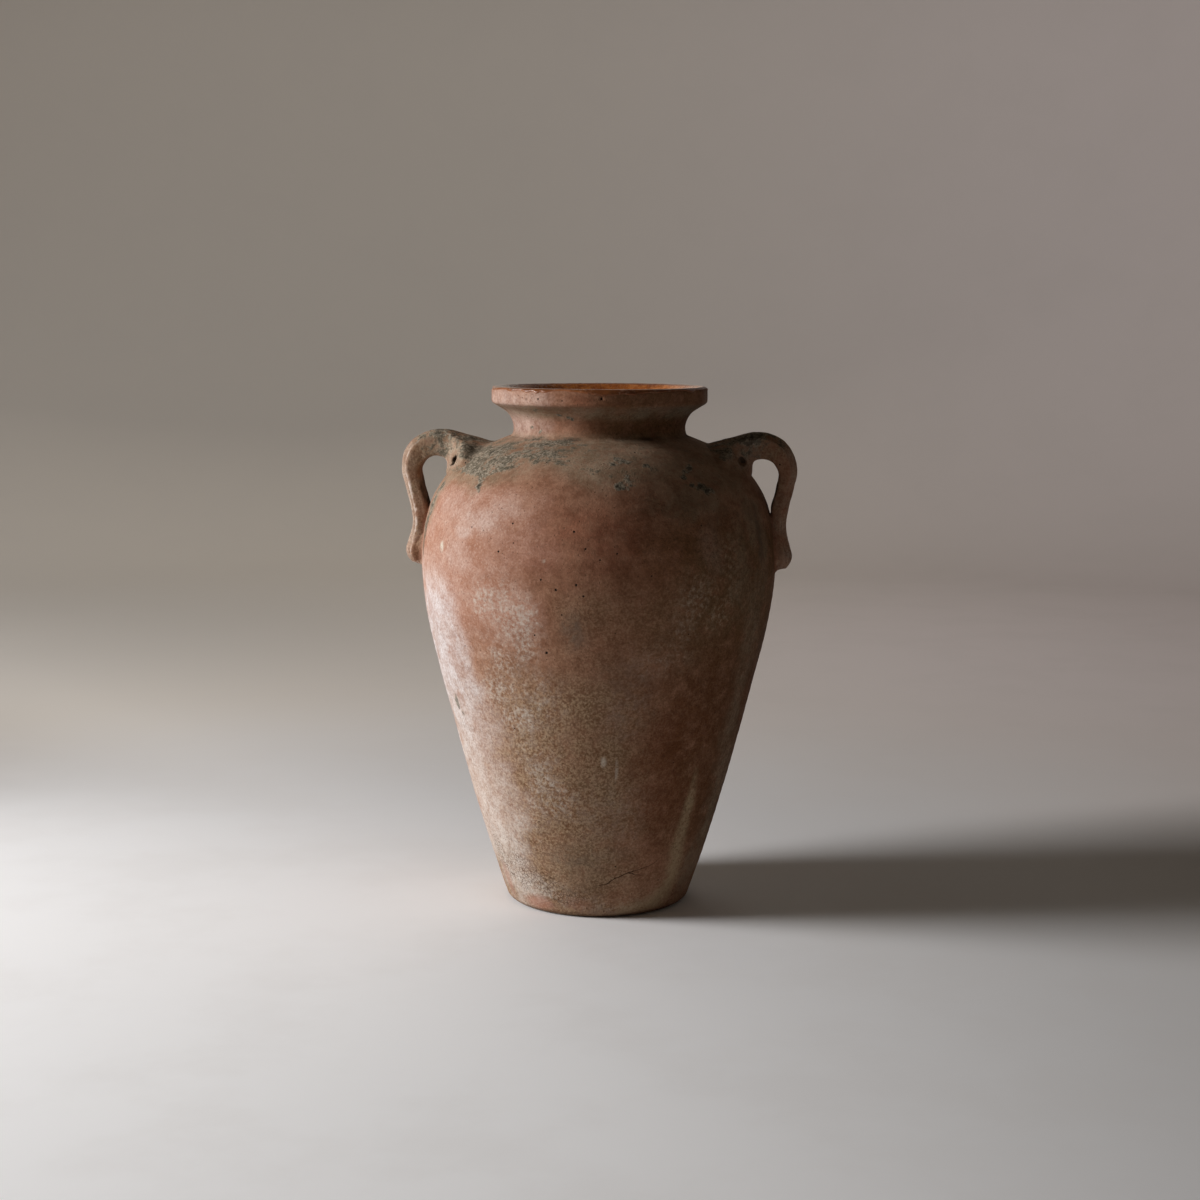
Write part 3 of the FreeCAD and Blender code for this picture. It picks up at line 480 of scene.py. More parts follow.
pieces = {}
pieces["base_disc"] = turned("jar_base_disc", OUT_BASE, IN_BASE, 1.1, ROUND)
pieces["lower_wall"] = turned("jar_lower_wall", OUT_LOWER, IN_LOWER, FINE, ROUND)
pieces["belly_wall"] = turned("jar_belly_wall", OUT_BELLY, IN_BELLY, FINE, ROUND)
pieces["shoulder_wall"] = turned("jar_shoulder_wall", OUT_SHOULDER, IN_SHOULDER, FINE, ROUND)
pieces["neck_collar"] = turned("jar_neck_collar", OUT_NECK, IN_NECK, 0.7, ROUND, 4.0)
pieces["rim_coil"] = turned("jar_rim_coil", OUT_RIM, IN_RIM, 0.6, ROUND, 4.0)
for key, j in (("base_slip_seam", J_BASE), ("lower_slip_seam", J_LOWER), ("upper_slip_seam", J_UPPER),
               ("neck_slip_seam", J_NECK), ("rim_slip_seam", J_RIM)):
    pieces[key] = turned("jar_" + key, [j.low, j.high], [j.high, j.vee_high, j.in_high, j.in_low, j.vee_low, j.low], 0.4, ROUND)

# ======================================================================= glaze


def glaze_lining():
    """Glaze over the whole inside: a thin closed shell with throwing rings."""
    g = 0.8
    free = [(80.0 - g * .416, 418.2 + g * .909, (40.8, 1)), (62.13 - g * .857, 402.0 + g * .515, (17.5, 1)), (58.7, 393.0, None),
            (58.7, 378.85, (6.7, 1)), (63.2 - g * .366, 373.4 - g * .93, None), (88.85 - g * .42, 363.3 - g * .9, (80.6, -1)),
            (115.06 - g * .75, 343.6 - g * .66, (65.4, -1)), (128.9 - g * .96, 318.0 - g * .276, (139.0, -1)), (133.7, 276.2, (296.9, -1)),
            (126.07 - g * .977, 217.95 + g * .215, (2206.2, -1)), (108.48 - g * .966, 150.0 + g * .26, (1759.2, -1)),
            (67.6 - g * .85, 13.4, None), (0.0, 13.4)]
    back = [(0.0, 12.6, None), J_BASE.in_low, J_BASE.in_high + ((1760.0, 1),), J_LOWER.in_low, J_LOWER.in_high + ((2207.0, 1),), (126.07, 217.95, (297.7, 1)),
            (134.5, 276.2, (139.8, 1)), J_UPPER.in_low, J_UPPER.in_high + ((66.2, 1),), (115.06, 343.6, (81.4, 1)), (88.85, 363.3, None),
            (63.2, 373.4, (5.9, -1)), (59.5, 378.85, None), (59.5, 393.0, (16.7, -1)), J_RIM.in_low, J_RIM.in_high + ((40.0, -1),), (80.0, 418.2)]
    n = 360
    rows = run(free, 2.6)
    t = np.gradient(rows, axis=0)
    t /= np.linalg.norm(t, axis=1)[:, None]
    normal = np.stack([t[:, 1], -t[:, 0]], 1)          # away from the clay, into the jar
    arc = np.concatenate([[0.0], np.cumsum(np.hypot(*np.diff(rows, axis=0).T))])
    th = np.arange(n) * 2.0 * np.pi / n
    verts, counts = [], []
    for i, (r, z) in enumerate(rows):
        if r < 1e-6:
            verts.append(np.array([[0.0, 0.0, z + 0.4]]))
            counts.append(1)
            continue
        p = np.stack([r * np.cos(th), r * np.sin(th), np.full(n, z)], 1)
        fade = smooth(6.0, 26.0, arc[i])
        rings = 0.5 + 0.5 * np.sin(2.0 * np.pi * (arc[i] / 11.5 + 0.35 * noise(p * np.array((1, 1, .25)), 80.0, 61)))
        d = fade * (0.55 * rings + 0.22 * (0.5 + 0.5 * noise(p, 26.0, 62)) + 0.12 * (0.5 + 0.5 * noise(p, 9.0, 63)))
        d = d + (1.0 - fade) * 0.05 * (0.5 + 0.5 * noise(p, 9.0, 63))
        verts.append(p + np.stack([np.cos(th) * normal[i, 0] * d, np.sin(th) * normal[i, 0] * d, normal[i, 1] * d], 1))
        counts.append(n)
    for r, z in run(back, 10.0):
        if r < 1e-6:
            verts.append(np.array([[0.0, 0.0, z]]))
            counts.append(1)
        else:
            verts.append(np.stack([r * np.cos(th), r * np.sin(th), np.full(n, z)], 1))
            counts.append(n)
    v = np.concatenate(verts)
    faces = ring_faces(counts, n, closed=True)
    # the two poles follow one another, so the closing pair between them is skipped above
    # painted shade: darker deeper inside the jar
    deep_shade = smooth(420.0, 330.0, v[:, 2])
    streak = fbm(v * np.array((1.0, 1.0, 0.12)), 16.0, 64, 3)
    return add_mesh("jar_interior_glaze", v, faces, {"mG": (deep_shade, streak, np.zeros(len(v)))}, 60.0)


def glaze_lip():
    """Glaze carried over the lip: its outer edge wanders and runs down in drips."""
    n = 720
    path = run([(80.0, 418.2, (5.46, -1)), (83.35, 419.35, (3.65, -1)), (87.0, 415.7, None), (87.0, 408.88)], 0.1)
    arc = np.concatenate([[0.0], np.cumsum(np.hypot(*np.diff(path, axis=0).T))])
    where, normal = locate(path)
    th = np.arange(n) * 2.0 * np.pi / n
    ring = np.stack([87.0 * np.cos(th), 87.0 * np.sin(th), np.full(n, 415.0)], 1)
    phi = np.degrees(np.arctan2(ring[:, 0], -ring[:, 1]))
    crest = float(np.interp(415.7, path[::-1, 1], arc[::-1]))
    reach = crest - 2.7 + 0.8 * noise(ring, 26.0, 71) + 0.5 * noise(ring, 9.0, 72) + 0.25 * noise(ring, 4.0, 73)
    for f, wide, long_ in [(-47, 9, 1.6), (-33, 5, 2.2), (-27, 2.6, 3.0), (-22, 4, 1.6), (-5, 10, 1.2), (5, 9, 3.0), (14, 10, 3.6), (25, 8, 3.2), (38, 9, 2.2), (63, 5, 2.4),
                           (96, 7, 2.6), (112, 4, 3.6), (131, 6, 1.8), (160, 5, 3.0), (174, 8, 2.0), (-166, 4, 3.4), (-140, 7, 2.2), (-118, 5, 2.9), (-96, 8, 1.8), (-70, 6, 2.0)]:
        x = np.radians(turn(phi, f)) * 87.0 / wide
        reach += 0.8 * long_ * np.exp(-x * x) * (0.9 + 0.2 * noise(ring, 5.0, 74))
    reach = np.minimum(reach, arc[-1] - 0.6)
    m = 30
    verts = []
    for k in range(m + 1):
        t = k / m
        s = reach * t
        r, z = np.interp(s, arc, path[:, 0]), np.interp(s, arc, path[:, 1])
        nr, nz = np.interp(s, arc, normal[:, 0]), np.interp(s, arc, normal[:, 1])
        p = np.stack([r * np.cos(th), r * np.sin(th), z], 1)
        d = relief(p, np.interp(s, arc, where))
        body = 0.55 + 0.12 * noise(p, 12.0, 75)
        left = reach - s
        bead = body * np.sqrt(np.clip(1.0 - (1.0 - np.clip(left / 1.1, 0, 1)) ** 2, 0, 1)) * (1.0 + 0.35 * np.exp(-((left - 1.2) / 0.9) ** 2))
        bead = np.where(t < 0.08, np.maximum(bead, 0.62), bead) if k else np.full(n, 0.80)
        rise = d + bead
        verts.append(np.stack([(r + nr * rise) * np.cos(th), (r + nr * rise) * np.sin(th), np.minimum(z + nz * rise, 420.0)], 1))
    under = []
    for k in range(m, -1, -1):
        s = reach * (k / m)
        r, z = np.interp(s, arc, path[:, 0]), np.interp(s, arc, path[:, 1])
        nr, nz = np.interp(s, arc, normal[:, 0]), np.interp(s, arc, normal[:, 1])
        p = np.stack([r * np.cos(th), r * np.sin(th), z], 1)
        d = relief(p, np.interp(s, arc, where)) - 0.22 * (0.15 + 0.85 * smooth(0.0, 1.0, s))
        under.append(np.stack([(r + nr * d) * np.cos(th), (r + nr * d) * np.sin(th), z + nz * d], 1))
    v = np.concatenate(verts + under)
    faces = ring_faces([n] * (2 * m + 2), n)
    faces = [f[::-1] for f in faces]
    edge = np.concatenate([np.clip((reach - reach * k / m) / 3.0, 0, 1) for k in list(range(m + 1)) + list(range(m, -1, -1))])
    streak = fbm(v, 10.0, 76, 3)
    return add_mesh("jar_rim_glaze", v, faces, {"mG": (np.zeros(len(v)), streak, 1.0 - edge)}, 70.0)


pieces["interior_glaze"] = glaze_lining()
pieces["rim_glaze"] = glaze_lip()

# ===================================================================== handles

STRAP = np.array([
    (92.0, 361.0, 22.5, 34.0), (112.0, 368.2, 22.0, 30.0), (131.5, 373.3, 21.4, 26.0),
    (146.6, 367.4, 19.0, 24.0), (153.4, 353.7, 15.4, 23.0), (150.7, 337.5, 14.0, 22.5),
    (146.6, 321.0, 14.2, 22.0), (146.0, 306.0, 13.2, 22.0), (148.4, 291.5, 15.2, 23.5),
    (149.4, 283.5, 16.8, 24.5), (147.6, 275.2, 10.0, 20.0)])
CROWN = [2.4, 4.8, 6.4, 7.2, 7.4, 7.2, 7.0, 6.8, 7.6, 8.2, 6.0]


def catmull(values, per):
    """Smooth curve through the stations, with per samples to each span."""
    v = np.concatenate([2 * values[:1] - values[1:2], values, 2 * values[-1:] - values[-2:-1]])
    out = []
    for i in range(len(values) - 1):
        a, b, c, d = v[i:i + 4]
        t = np.arange(per)[:, None] / per
        out.append(0.5 * (2 * b + (c - a) * t + (2 * a - 5 * b + 4 * c - d) * t ** 2 + (3 * b - a - 3 * c + d) * t ** 3))
    return np.concatenate(out + [values[-1:]])


LINE = catmull(np.column_stack([STRAP, CROWN]), 26)
TANGENT = np.gradient(LINE[:, :2], axis=0)
TANGENT /= np.linalg.norm(TANGENT, axis=1)[:, None]
OUTWARD = np.stack([-TANGENT[:, 1], TANGENT[:, 0]], 1)


def nearest(x, z):
    """(index on the strap's centre line, distance off it outwards, distance past its tail)."""
    d = (x[:, None] - LINE[None, :, 0]) ** 2 + (z[:, None] - LINE[None, :, 1]) ** 2
    i = d.argmin(1)
    dx, dz = x - LINE[i, 0], z - LINE[i, 1]
    past = np.where(i >= len(LINE) - 2, dx * TANGENT[-1, 0] + dz * TANGENT[-1, 1], -20.0)
    return i, dx * OUTWARD[i, 0] + dz * OUTWARD[i, 1], past


# signed distance to the jar's outside on a fine grid of radius and height
WALL_R, WALL_Z = np.arange(56.0, 176.0, 0.5), np.arange(252.0, 400.0, 0.5)


def wall_grid():
    part = OUTLINE[(OUTLINE[:, 1] > 225.0) & (ARC < arc_at(402.0))][::2]
    ends = np.gradient(part, axis=0)
    ends /= np.linalg.norm(ends, axis=1)[:, None]
    rr, zz = np.meshgrid(WALL_R, WALL_Z, indexing="ij")
    flat = np.stack([rr.ravel(), zz.ravel()], 1)
    out = np.empty(len(flat))
    for s in range(0, len(flat), 4000):
        q = flat[s:s + 4000]
        d = ((q[:, None, :] - part[None]) ** 2).sum(2)
        i = d.argmin(1)
        off = q - part[i]
        side = off[:, 0] * ends[i, 1] - off[:, 1] * ends[i, 0]
        out[s:s + 4000] = np.sqrt(d[np.arange(len(q)), i]) * np.where(side >= 0, 1.0, -1.0)
    return out.reshape(rr.shape)


WALL = wall_grid()


def wall(x, y, z):
    r = np.sqrt(x * x + y * y)
    fr = np.clip((r - WALL_R[0]) / 0.5, 0, len(WALL_R) - 1.001)
    fz = np.clip((z - WALL_Z[0]) / 0.5, 0, len(WALL_Z) - 1.001)
    i, j = fr.astype(int), fz.astype(int)
    a, b = fr - i, fz - j
    return ((WALL[i, j] * (1 - a) + WALL[i + 1, j] * a) * (1 - b)
            + (WALL[i, j + 1] * (1 - a) + WALL[i + 1, j + 1] * a) * b)


def smin(a, b, k):
    h = np.clip(0.5 + 0.5 * (b - a) / k, 0.0, 1.0)
    return b + (a - b) * h - k * h * (1.0 - h)


def smax(a, b, k):
    return -smin(-a, -b, k)


GOUGES = {True: (113.6, -33.2, 361.0, 4.4, 3.8, 12.0), False: (117.2, -19.5, 362.0, 4.2, 3.4, 5.6)}
CREST_X = [80.0, 88.7, 101.0, 111.0, 120.0, 131.0, 145.0]
CREST_Z = [372.2, 374.3, 377.2, 379.2, 381.6, 383.0, 383.0]


def strap_field(y, i, u, past, lean):
    half, wide, crown = LINE[i, 2] / 2.0, LINE[i, 3] / 2.0 - 0.4, LINE[i, 4]
    a = np.abs(y - lean * np.sin(i / 40.0))
    s = a / wide
    vary = 0.85 + 0.22 * np.sin(i / 17.0 + 1.3 * np.sign(y)) + 0.13 * np.sin(i / 6.3 + 2.0 * np.sign(y))
    top = half - crown * np.minimum(s, 1.25) ** 2.2 + 1.5 * vary * np.exp(-((s - 0.90) / 0.08) ** 2) - 0.95 * vary * np.exp(-((s - 0.72) / 0.09) ** 2)
    side = wide * (1.0 - 0.15 * np.clip((half - u) / (2.0 * half), 0.0, 1.2) ** 1.4)
    f = smax(u - top, a - side, 1.1)
    f = smax(f, -u - half, 3.4)
    return smax(f, past - 0.8, 5.0)


def fan_field(x, y, z, tune):
    """Root clay drawn out in a fan over the shoulder, with a squared flank towards the finger hole."""
    a = np.abs(y) * np.where(y < 0, tune[0], tune[1])
    top = np.interp(x, CREST_X, CREST_Z) - 0.0052 * a * a - 0.6 * smooth(3.0, 12.0, a)
    f1 = (z - top) * 0.965
    slope = 0.55 * smooth(8.0, 28.0, a)
    press = 0.55 * np.cos(a / 1.95 + 0.6 * np.sign(y)) * smooth(12.0, 20.0, a) * smooth(50.0, 40.0, a)
    edge = 123.7 - 0.0042 * a * a - 0.0075 * np.clip(a - 32.0, 0.0, None) ** 2
    f2 = (x + slope * (z - 350.0) - edge + press) / np.sqrt(1.0 + slope * slope)
    f3 = (a + 0.25 * (z - 358.0) - 54.5) / 1.03
    low = 349.2 + 0.014 * np.clip(a - 28.0, 0.0, None) ** 2
    return smax(smax(smax(f1, f2, 3.0), f3, 5.0), low - z, 3.0)


def handle_field(x, y, z, i, u, past, tune):
    w = wall(x, y, z)
    strap = strap_field(y, i, u, past, tune[2])
    fan = fan_field(x, y, z, tune)
    solid = smin(strap, fan, 4.5)
    # a thumb mark in the front flank
    cx, cy, cz, long_, short, deep = GOUGES[tune[2] > 0]
    dx, dy, dz = x - cx, y - cy, z - cz
    e = np.sqrt(((0.67 * dz - 0.74 * dx) / long_) ** 2 + ((0.74 * dz + 0.67 * dx) / short) ** 2 + (dy / deep) ** 2)
    solid = smax(solid, (1.0 - e) * short, 0.9)
    met = smin(solid, w + 0.3, 2.6)
    return np.maximum(np.maximum(met, -(w + 3.2)), solid - 3.2)


def tail_field(x, y, z, i, u, past, tune):
    """Clay pressed into the corner between the tail and the wall."""
    w = wall(x, y, z)
    a = strap_field(y, i, u, past, tune[2])
    size = (5.6 + 0.9 * np.sin(0.31 * z + 0.9 * np.sign(y)) + 0.5 * np.sin(0.83 * z)) * smooth(312.0, 290.0, z) + 0.4
    fill = size - np.sqrt(np.maximum(size - a, 0.0) ** 2 + np.maximum(size - w - 0.3, 0.0) ** 2)
    fill = np.maximum(np.maximum(fill, a - size), -(w + 3.2))
    return np.maximum(np.maximum(fill, -(a + 0.9)), 0.55 * (z - 307.0))


def nets(field, lo, hi, g, tune):
    """Closed quad mesh of the zero level of a field, by surface nets, then drawn onto it."""
    xs, ys, zs = (np.arange(lo[c], hi[c] + g, g) for c in range(3))
    gx, gz = np.meshgrid(xs, zs, indexing="ij")
    i2, u2, p2 = nearest(gx.ravel(), gz.ravel())
    shape = (len(xs), len(ys), len(zs))

    def spread_y(v):
        return np.broadcast_to(v.reshape(len(xs), 1, len(zs)), shape).ravel()

    x = np.broadcast_to(xs[:, None, None], shape).ravel()
    y = np.broadcast_to(ys[None, :, None], shape).ravel()
    z = np.broadcast_to(zs[None, None, :], shape).ravel()
    f = field(x, y, z, spread_y(i2), spread_y(u2), spread_y(p2), tune).reshape(shape)
    inside = f < 0.0
    corner = [(a, b, c) for a in (0, 1) for b in (0, 1) for c in (0, 1)]

    def at(arr, c):
        return arr[c[0]:shape[0] - 1 + c[0], c[1]:shape[1] - 1 + c[1], c[2]:shape[2] - 1 + c[2]]

    count = sum(at(inside, c).astype(np.int8) for c in corner)
    live = (count > 0) & (count < 8)
    cells = np.argwhere(live)
    index = np.full(live.shape, -1, np.int64)
    index[live] = np.arange(len(cells))
    total, hits = np.zeros((len(cells), 3)), np.zeros(len(cells))
    for m, ca in enumerate(corner):
        for cb in corner[m + 1:]:
            if sum(abs(p - q) for p, q in zip(ca, cb)) != 1:
                continue
            fa, fb = at(f, ca)[live], at(f, cb)[live]
            cut = (fa < 0) != (fb < 0)
            t = np.where(cut, fa / np.where(cut, fa - fb, 1.0), 0.0)
            p = np.array(ca)[None] + t[:, None] * (np.array(cb) - np.array(ca))[None]
            total += np.where(cut[:, None], p, 0.0)
            hits += cut
    verts = np.array(lo)[None] + g * (cells + total / hits[:, None])
    faces = []
    for axis in range(3):
        o = [c for c in range(3) if c != axis]
        sa = [slice(1, -1)] * 3
        sb = [slice(1, -1)] * 3
        sa[axis], sb[axis] = slice(0, -1), slice(1, None)
        s0, s1 = inside[tuple(sa)], inside[tuple(sb)]
        e = np.argwhere(s0 != s1)
        first = s0[s0 != s1]
        e[:, o] += 1
        quad = []
        for d0, d1 in ((-1, -1), (0, -1), (0, 0), (-1, 0)):
            c = e.copy()
            c[:, o[0]] += d0
            c[:, o[1]] += d1
            quad.append(index[c[:, 0], c[:, 1], c[:, 2]])
        quad = np.stack(quad, 1)
        flip = first if axis != 1 else ~first
        quad[~flip] = quad[~flip][:, ::-1]
        faces.append(quad)
    faces = np.concatenate(faces)

    def value(p):
        i, u, past = nearest(p[:, 0], p[:, 2])
        return field(p[:, 0], p[:, 1], p[:, 2], i, u, past, tune)

    start = verts.copy()
    for _ in range(3):
        v0, h = value(verts), 0.12
        grad = np.stack([(value(verts + h * e) - value(verts - h * e)) / (2 * h) for e in np.eye(3)], 1)
        step = v0[:, None] * grad / np.maximum((grad ** 2).sum(1), 0.2)[:, None]
        verts = verts - np.clip(step, -0.3 * g, 0.3 * g)
        off = verts - start
        verts = start + np.clip(off, -0.55 * g, 0.55 * g)
    return verts, faces


def relax(verts, faces, turns, amount, hold):
    """Evens a mesh out, less where hold is near 1."""
    edges = np.unique(np.sort(np.concatenate([faces[:, [0, 1]], faces[:, [1, 2]], faces[:, [2, 3]], faces[:, [3, 0]]]), axis=1), axis=0)
    n = len(verts)
    deg = np.bincount(edges.ravel(), minlength=n)[:, None]
    for _ in range(turns):
        acc = np.stack([np.bincount(edges[:, 0], verts[edges[:, 1], c], n) + np.bincount(edges[:, 1], verts[edges[:, 0], c], n) for c in range(3)], 1)
        verts = verts + (acc / deg - verts) * (amount * (1.0 - hold))[:, None]
    return verts, edges, deg


def vertex_normals(verts, faces):
    a, b, c, d = (verts[faces[:, k]] for k in range(4))
    fn = np.cross(c - a, d - b)
    n = len(verts)
    out = np.zeros((n, 3))
    for k in range(4):
        for ax in range(3):
            out[:, ax] += np.bincount(faces[:, k], fn[:, ax], n)
    return out / np.maximum(np.linalg.norm(out, axis=1), 1e-12)[:, None]


def hollows(verts, normals, edges, deg, turns):
    """Curvature, averaged over neighbours: above 0 in hollows, below 0 on ridges."""
    n = len(verts)
    acc = np.stack([np.bincount(edges[:, 0], verts[edges[:, 1], c], n) + np.bincount(edges[:, 1], verts[edges[:, 0], c], n) for c in range(3)], 1)
    k = ((acc / deg - verts) * normals).sum(1)
    for _ in range(turns):
        k = (np.bincount(edges[:, 0], k[edges[:, 1]], n) + np.bincount(edges[:, 1], k[edges[:, 0]], n)) / deg[:, 0]
    return k


def handle_masks(p, normals, hollow, seed, mirror):
    """Weathering of a handle: painted shade with some dirt in hollows and against the wall, wear and painted highlight
    on ridges and outer faces, lichen on top, and the right handle painted darker as it stands in shade.
    """
    w = wall(np.abs(p[:, 0]), p[:, 1], p[:, 2])
    wide, mid, small = fbm(p, 30.0, 81 + seed, 3), fbm(p, 12.0, 82 + seed, 3), fbm(p, 4.5, 83 + seed, 2)
    z = p[:, 2]
    up = normals[:, 2]
    rho = np.abs(p[:, 0])
    high = smooth(346.0, 372.0, z)
    soot = high * (0.42 + 0.42 * smooth(-0.2, 0.7, up) + 0.40 * mid + 0.22 * wide) * smooth(158.0, 144.0, rho + 5 * mid)
    soot = np.maximum(soot, smooth(5.0, 1.0, w) * (0.42 + 0.4 * mid))
    soot = np.maximum(soot, 0.75 * smooth(-0.1, -0.9, normals[:, 1]) * smooth(145.0, 125.0, rho + 6 * mid) * smooth(358.0, 366.0, z + 4 * small) * smooth(384.0, 376.0, z))
    soot = np.maximum(soot, 0.55 * smooth(300.0, 270.0, z + 9.0 * mid) * smooth(4.0, 0.5, w))
    # painted shade, with some dirt: darker in hollows and where the clay meets the wall
    shade_and_grime = np.clip(smooth(0.014, 0.075, hollow) * (0.72 + 0.4 * mid) * smooth(0.6, 2.6, w) + smooth(1.8, 0.3, w) * 0.32, 0, 1)
    cx, cy, cz, long_, short, deep = GOUGES[mirror]
    dx, dy, dz = rho - cx, p[:, 1] - cy, z - cz
    e = np.sqrt(((0.67 * dz - 0.74 * dx) / long_) ** 2 + ((0.74 * dz + 0.67 * dx) / short) ** 2 + (dy / deep) ** 2)
    # painted shade inside the thumb mark, stronger on the left handle whose hollow faces the key light
    shade_and_grime = np.maximum(shade_and_grime, (1.1 if mirror else 0.6) * smooth(1.30, 0.92, e + 0.15 * small))
    # rubbed ridges are paler, partly real wear and partly a painted highlight; the right handle, in shade, gets less of
    # it
    wear_and_highlight = smooth(-0.022, -0.075, hollow) * np.clip(0.55 + 0.9 * mid + 0.5 * small, 0.1, 1.0) * (1.0 if mirror else 0.45)
    outer = normals[:, 0] * np.sign(p[:, 0])
    # painted shade on faces turned in towards the wall, in the gap between strap and wall
    shade_and_grime = np.maximum(shade_and_grime, 0.72 * smooth(-0.15, -0.75, outer) * smooth(27.0, 10.0, w) * smooth(1.0, 3.0, w) * (0.85 + 0.5 * mid))
    # paler on faces turned outwards, partly a painted highlight where the left handle faces the key light
    pale_and_highlight = np.clip(np.maximum(wear_and_highlight, 0.55 * smooth(0.15, 0.75, outer) * (0.75 + 0.6 * mid)), 0, 1) * (1.0 - 0.55 * np.clip(soot, 0, 1) * (wear_and_highlight < 0.3))
    # the downward faces near the top of the loop are painted warm red as warm bounce light in shade; the rest is random
    # red tone
    red = 0.55 * smooth(0.05, 0.5, wide + 0.3 * mid) + 0.5 * smooth(-0.3, -0.8, up) * smooth(340.0, 360.0, z)
    red = np.maximum(red, 0.6 * smooth(6.0, 1.0, np.hypot(rho - 119.0, z - 352.0) - 6.0) * smooth(-30.0, -40.0, p[:, 1]))
    zero = np.zeros(len(p))
    # painted shade: the right handle stands in shade, so it gets less pale, tan and film and more red
    lit_share = 1.0 if mirror else 0.5
    pale_and_highlight, red = pale_and_highlight * lit_share, red + 0.5 * (1.0 - lit_share)
    tan = np.clip(0.55 + 0.5 * mid, 0, 1) * (0.4 + 0.6 * lit_share)
    own = {"mA": (np.clip(soot, 0, 1.1), pale_and_highlight, np.clip(red, 0, 1)), "mB": (tan, np.clip(0.35 * wide + 0.15, 0, 1), zero),
           "mC": (zero, zero, shade_and_grime), "mD": (zero + 9.0, zero + 9.0, 0.30 * smooth(-0.2, 0.6, wide)),
           "mE": (np.clip(0.30 + 0.5 * smooth(0.0, 0.7, soot) + 0.35 * wide - 0.5 * wear_and_highlight, 0, 1) * lit_share, zero, np.clip(wear_and_highlight, 0, 1))}
    # where the clay thins out over the wall it takes on the wall's weathering
    skin = body_masks(p, arc_at(z))
    near = smooth(4.6, 0.8, w + 1.2 * mid)
    skin["mA"] = (0.45 * skin["mA"][0] + 0.55 * own["mA"][0],) + skin["mA"][1:]
    skin["mE"] = skin["mE"][:2] + (zero,)
    skin["mC"] = skin["mC"][:2] + (shade_and_grime,)
    return {k: tuple(o * (1.0 - near) + b * near for o, b in zip(own[k], skin[k])) for k in own}


def cut_piece(name, verts, faces, keep, seed, mirror):
    """The part of a handle mesh between or outside planes of equal depth, capped."""
    normals = vertex_normals(verts, faces)
    edges, deg = keep["edges"], keep["deg"]
    hollow = hollows(verts, normals, edges, deg, 1)
    bm = bmesh.new()
    vn = bm.verts.layers.float_vector.new("vn")
    hl = bm.verts.layers.float.new("hl")
    for v, nrm, h in zip(verts, normals, hollow):
        b = bm.verts.new(v)
        b[vn] = Vector(nrm)
        b[hl] = h
    bm.verts.ensure_lookup_table()
    for f in faces.tolist():
        bm.faces.new([bm.verts[k] for k in f])
    parts = []
    if keep["mode"] == "inside":
        cuts = [[(Vector((0, keep["y"], 0)), Vector((0, 1, 0))), (Vector((0, -keep["y"], 0)), Vector((0, -1, 0)))]]
    elif keep["mode"] == "outside":
        cuts = [[(Vector((0, keep["y"], 0)), Vector((0, -1, 0)))], [(Vector((0, -keep["y"], 0)), Vector((0, 1, 0)))]]
    else:
        cuts = [[]]
    all_co, all_n, all_h, all_f, all_cap = [], [], [], [], []
    base = 0
    for planes in cuts:
        part = bm.copy()
        pvn, phl = part.verts.layers.float_vector["vn"], part.verts.layers.float["hl"]
        caps = set()
        for co, no in planes:
            bmesh.ops.bisect_plane(part, geom=part.verts[:] + part.edges[:] + part.faces[:], dist=1e-5, plane_co=co, plane_no=no, clear_outer=True)
            rim = [e for e in part.edges if e.is_boundary]
            bmesh.ops.triangle_fill(part, use_beauty=True, use_dissolve=False, edges=rim, normal=no)
            for f in part.faces:
                if len(f.verts) == 3 and all(abs((v.co - co).dot(no)) < 1e-3 for v in f.verts) and abs(f.normal.dot(no)) > 0.9:
                    if f.normal.dot(no) < 0:
                        f.normal_flip()
                    caps.add(f)
        part.verts.index_update()
        for v in part.verts:
            all_co.append(v.co[:])
            all_n.append(v[pvn][:])
            all_h.append(v[phl])
        for f in part.faces:
            all_f.append([v.index + base for v in f.verts])
            all_cap.append(f in caps)
        base += len(part.verts)
        part.free()
    bm.free()
    co, nrm, hol = np.array(all_co), np.array(all_n), np.array(all_h)
    nrm /= np.maximum(np.linalg.norm(nrm, axis=1), 1e-9)[:, None]
    fs = all_f
    if mirror:
        co[:, 0] *= -1.0
        nrm[:, 0] *= -1.0
        fs = [f[::-1] for f in fs]
    me = bpy.data.meshes.new(name)
    me.from_pydata([tuple(c) for c in co * MM], [], fs)
    ob = finish_mesh(name, me, handle_masks(co, nrm, hol, seed, mirror))
    if keep["mode"] != "whole":
        loops = np.zeros(len(me.loops), np.int32)
        me.loops.foreach_get("vertex_index", loops)
        out = nrm[loops]
        for poly, cap in zip(me.polygons, all_cap):
            if cap:
                out[poly.loop_start:poly.loop_start + poly.loop_total] = poly.normal
        me.normals_split_custom_set(out.tolist())
    return ob


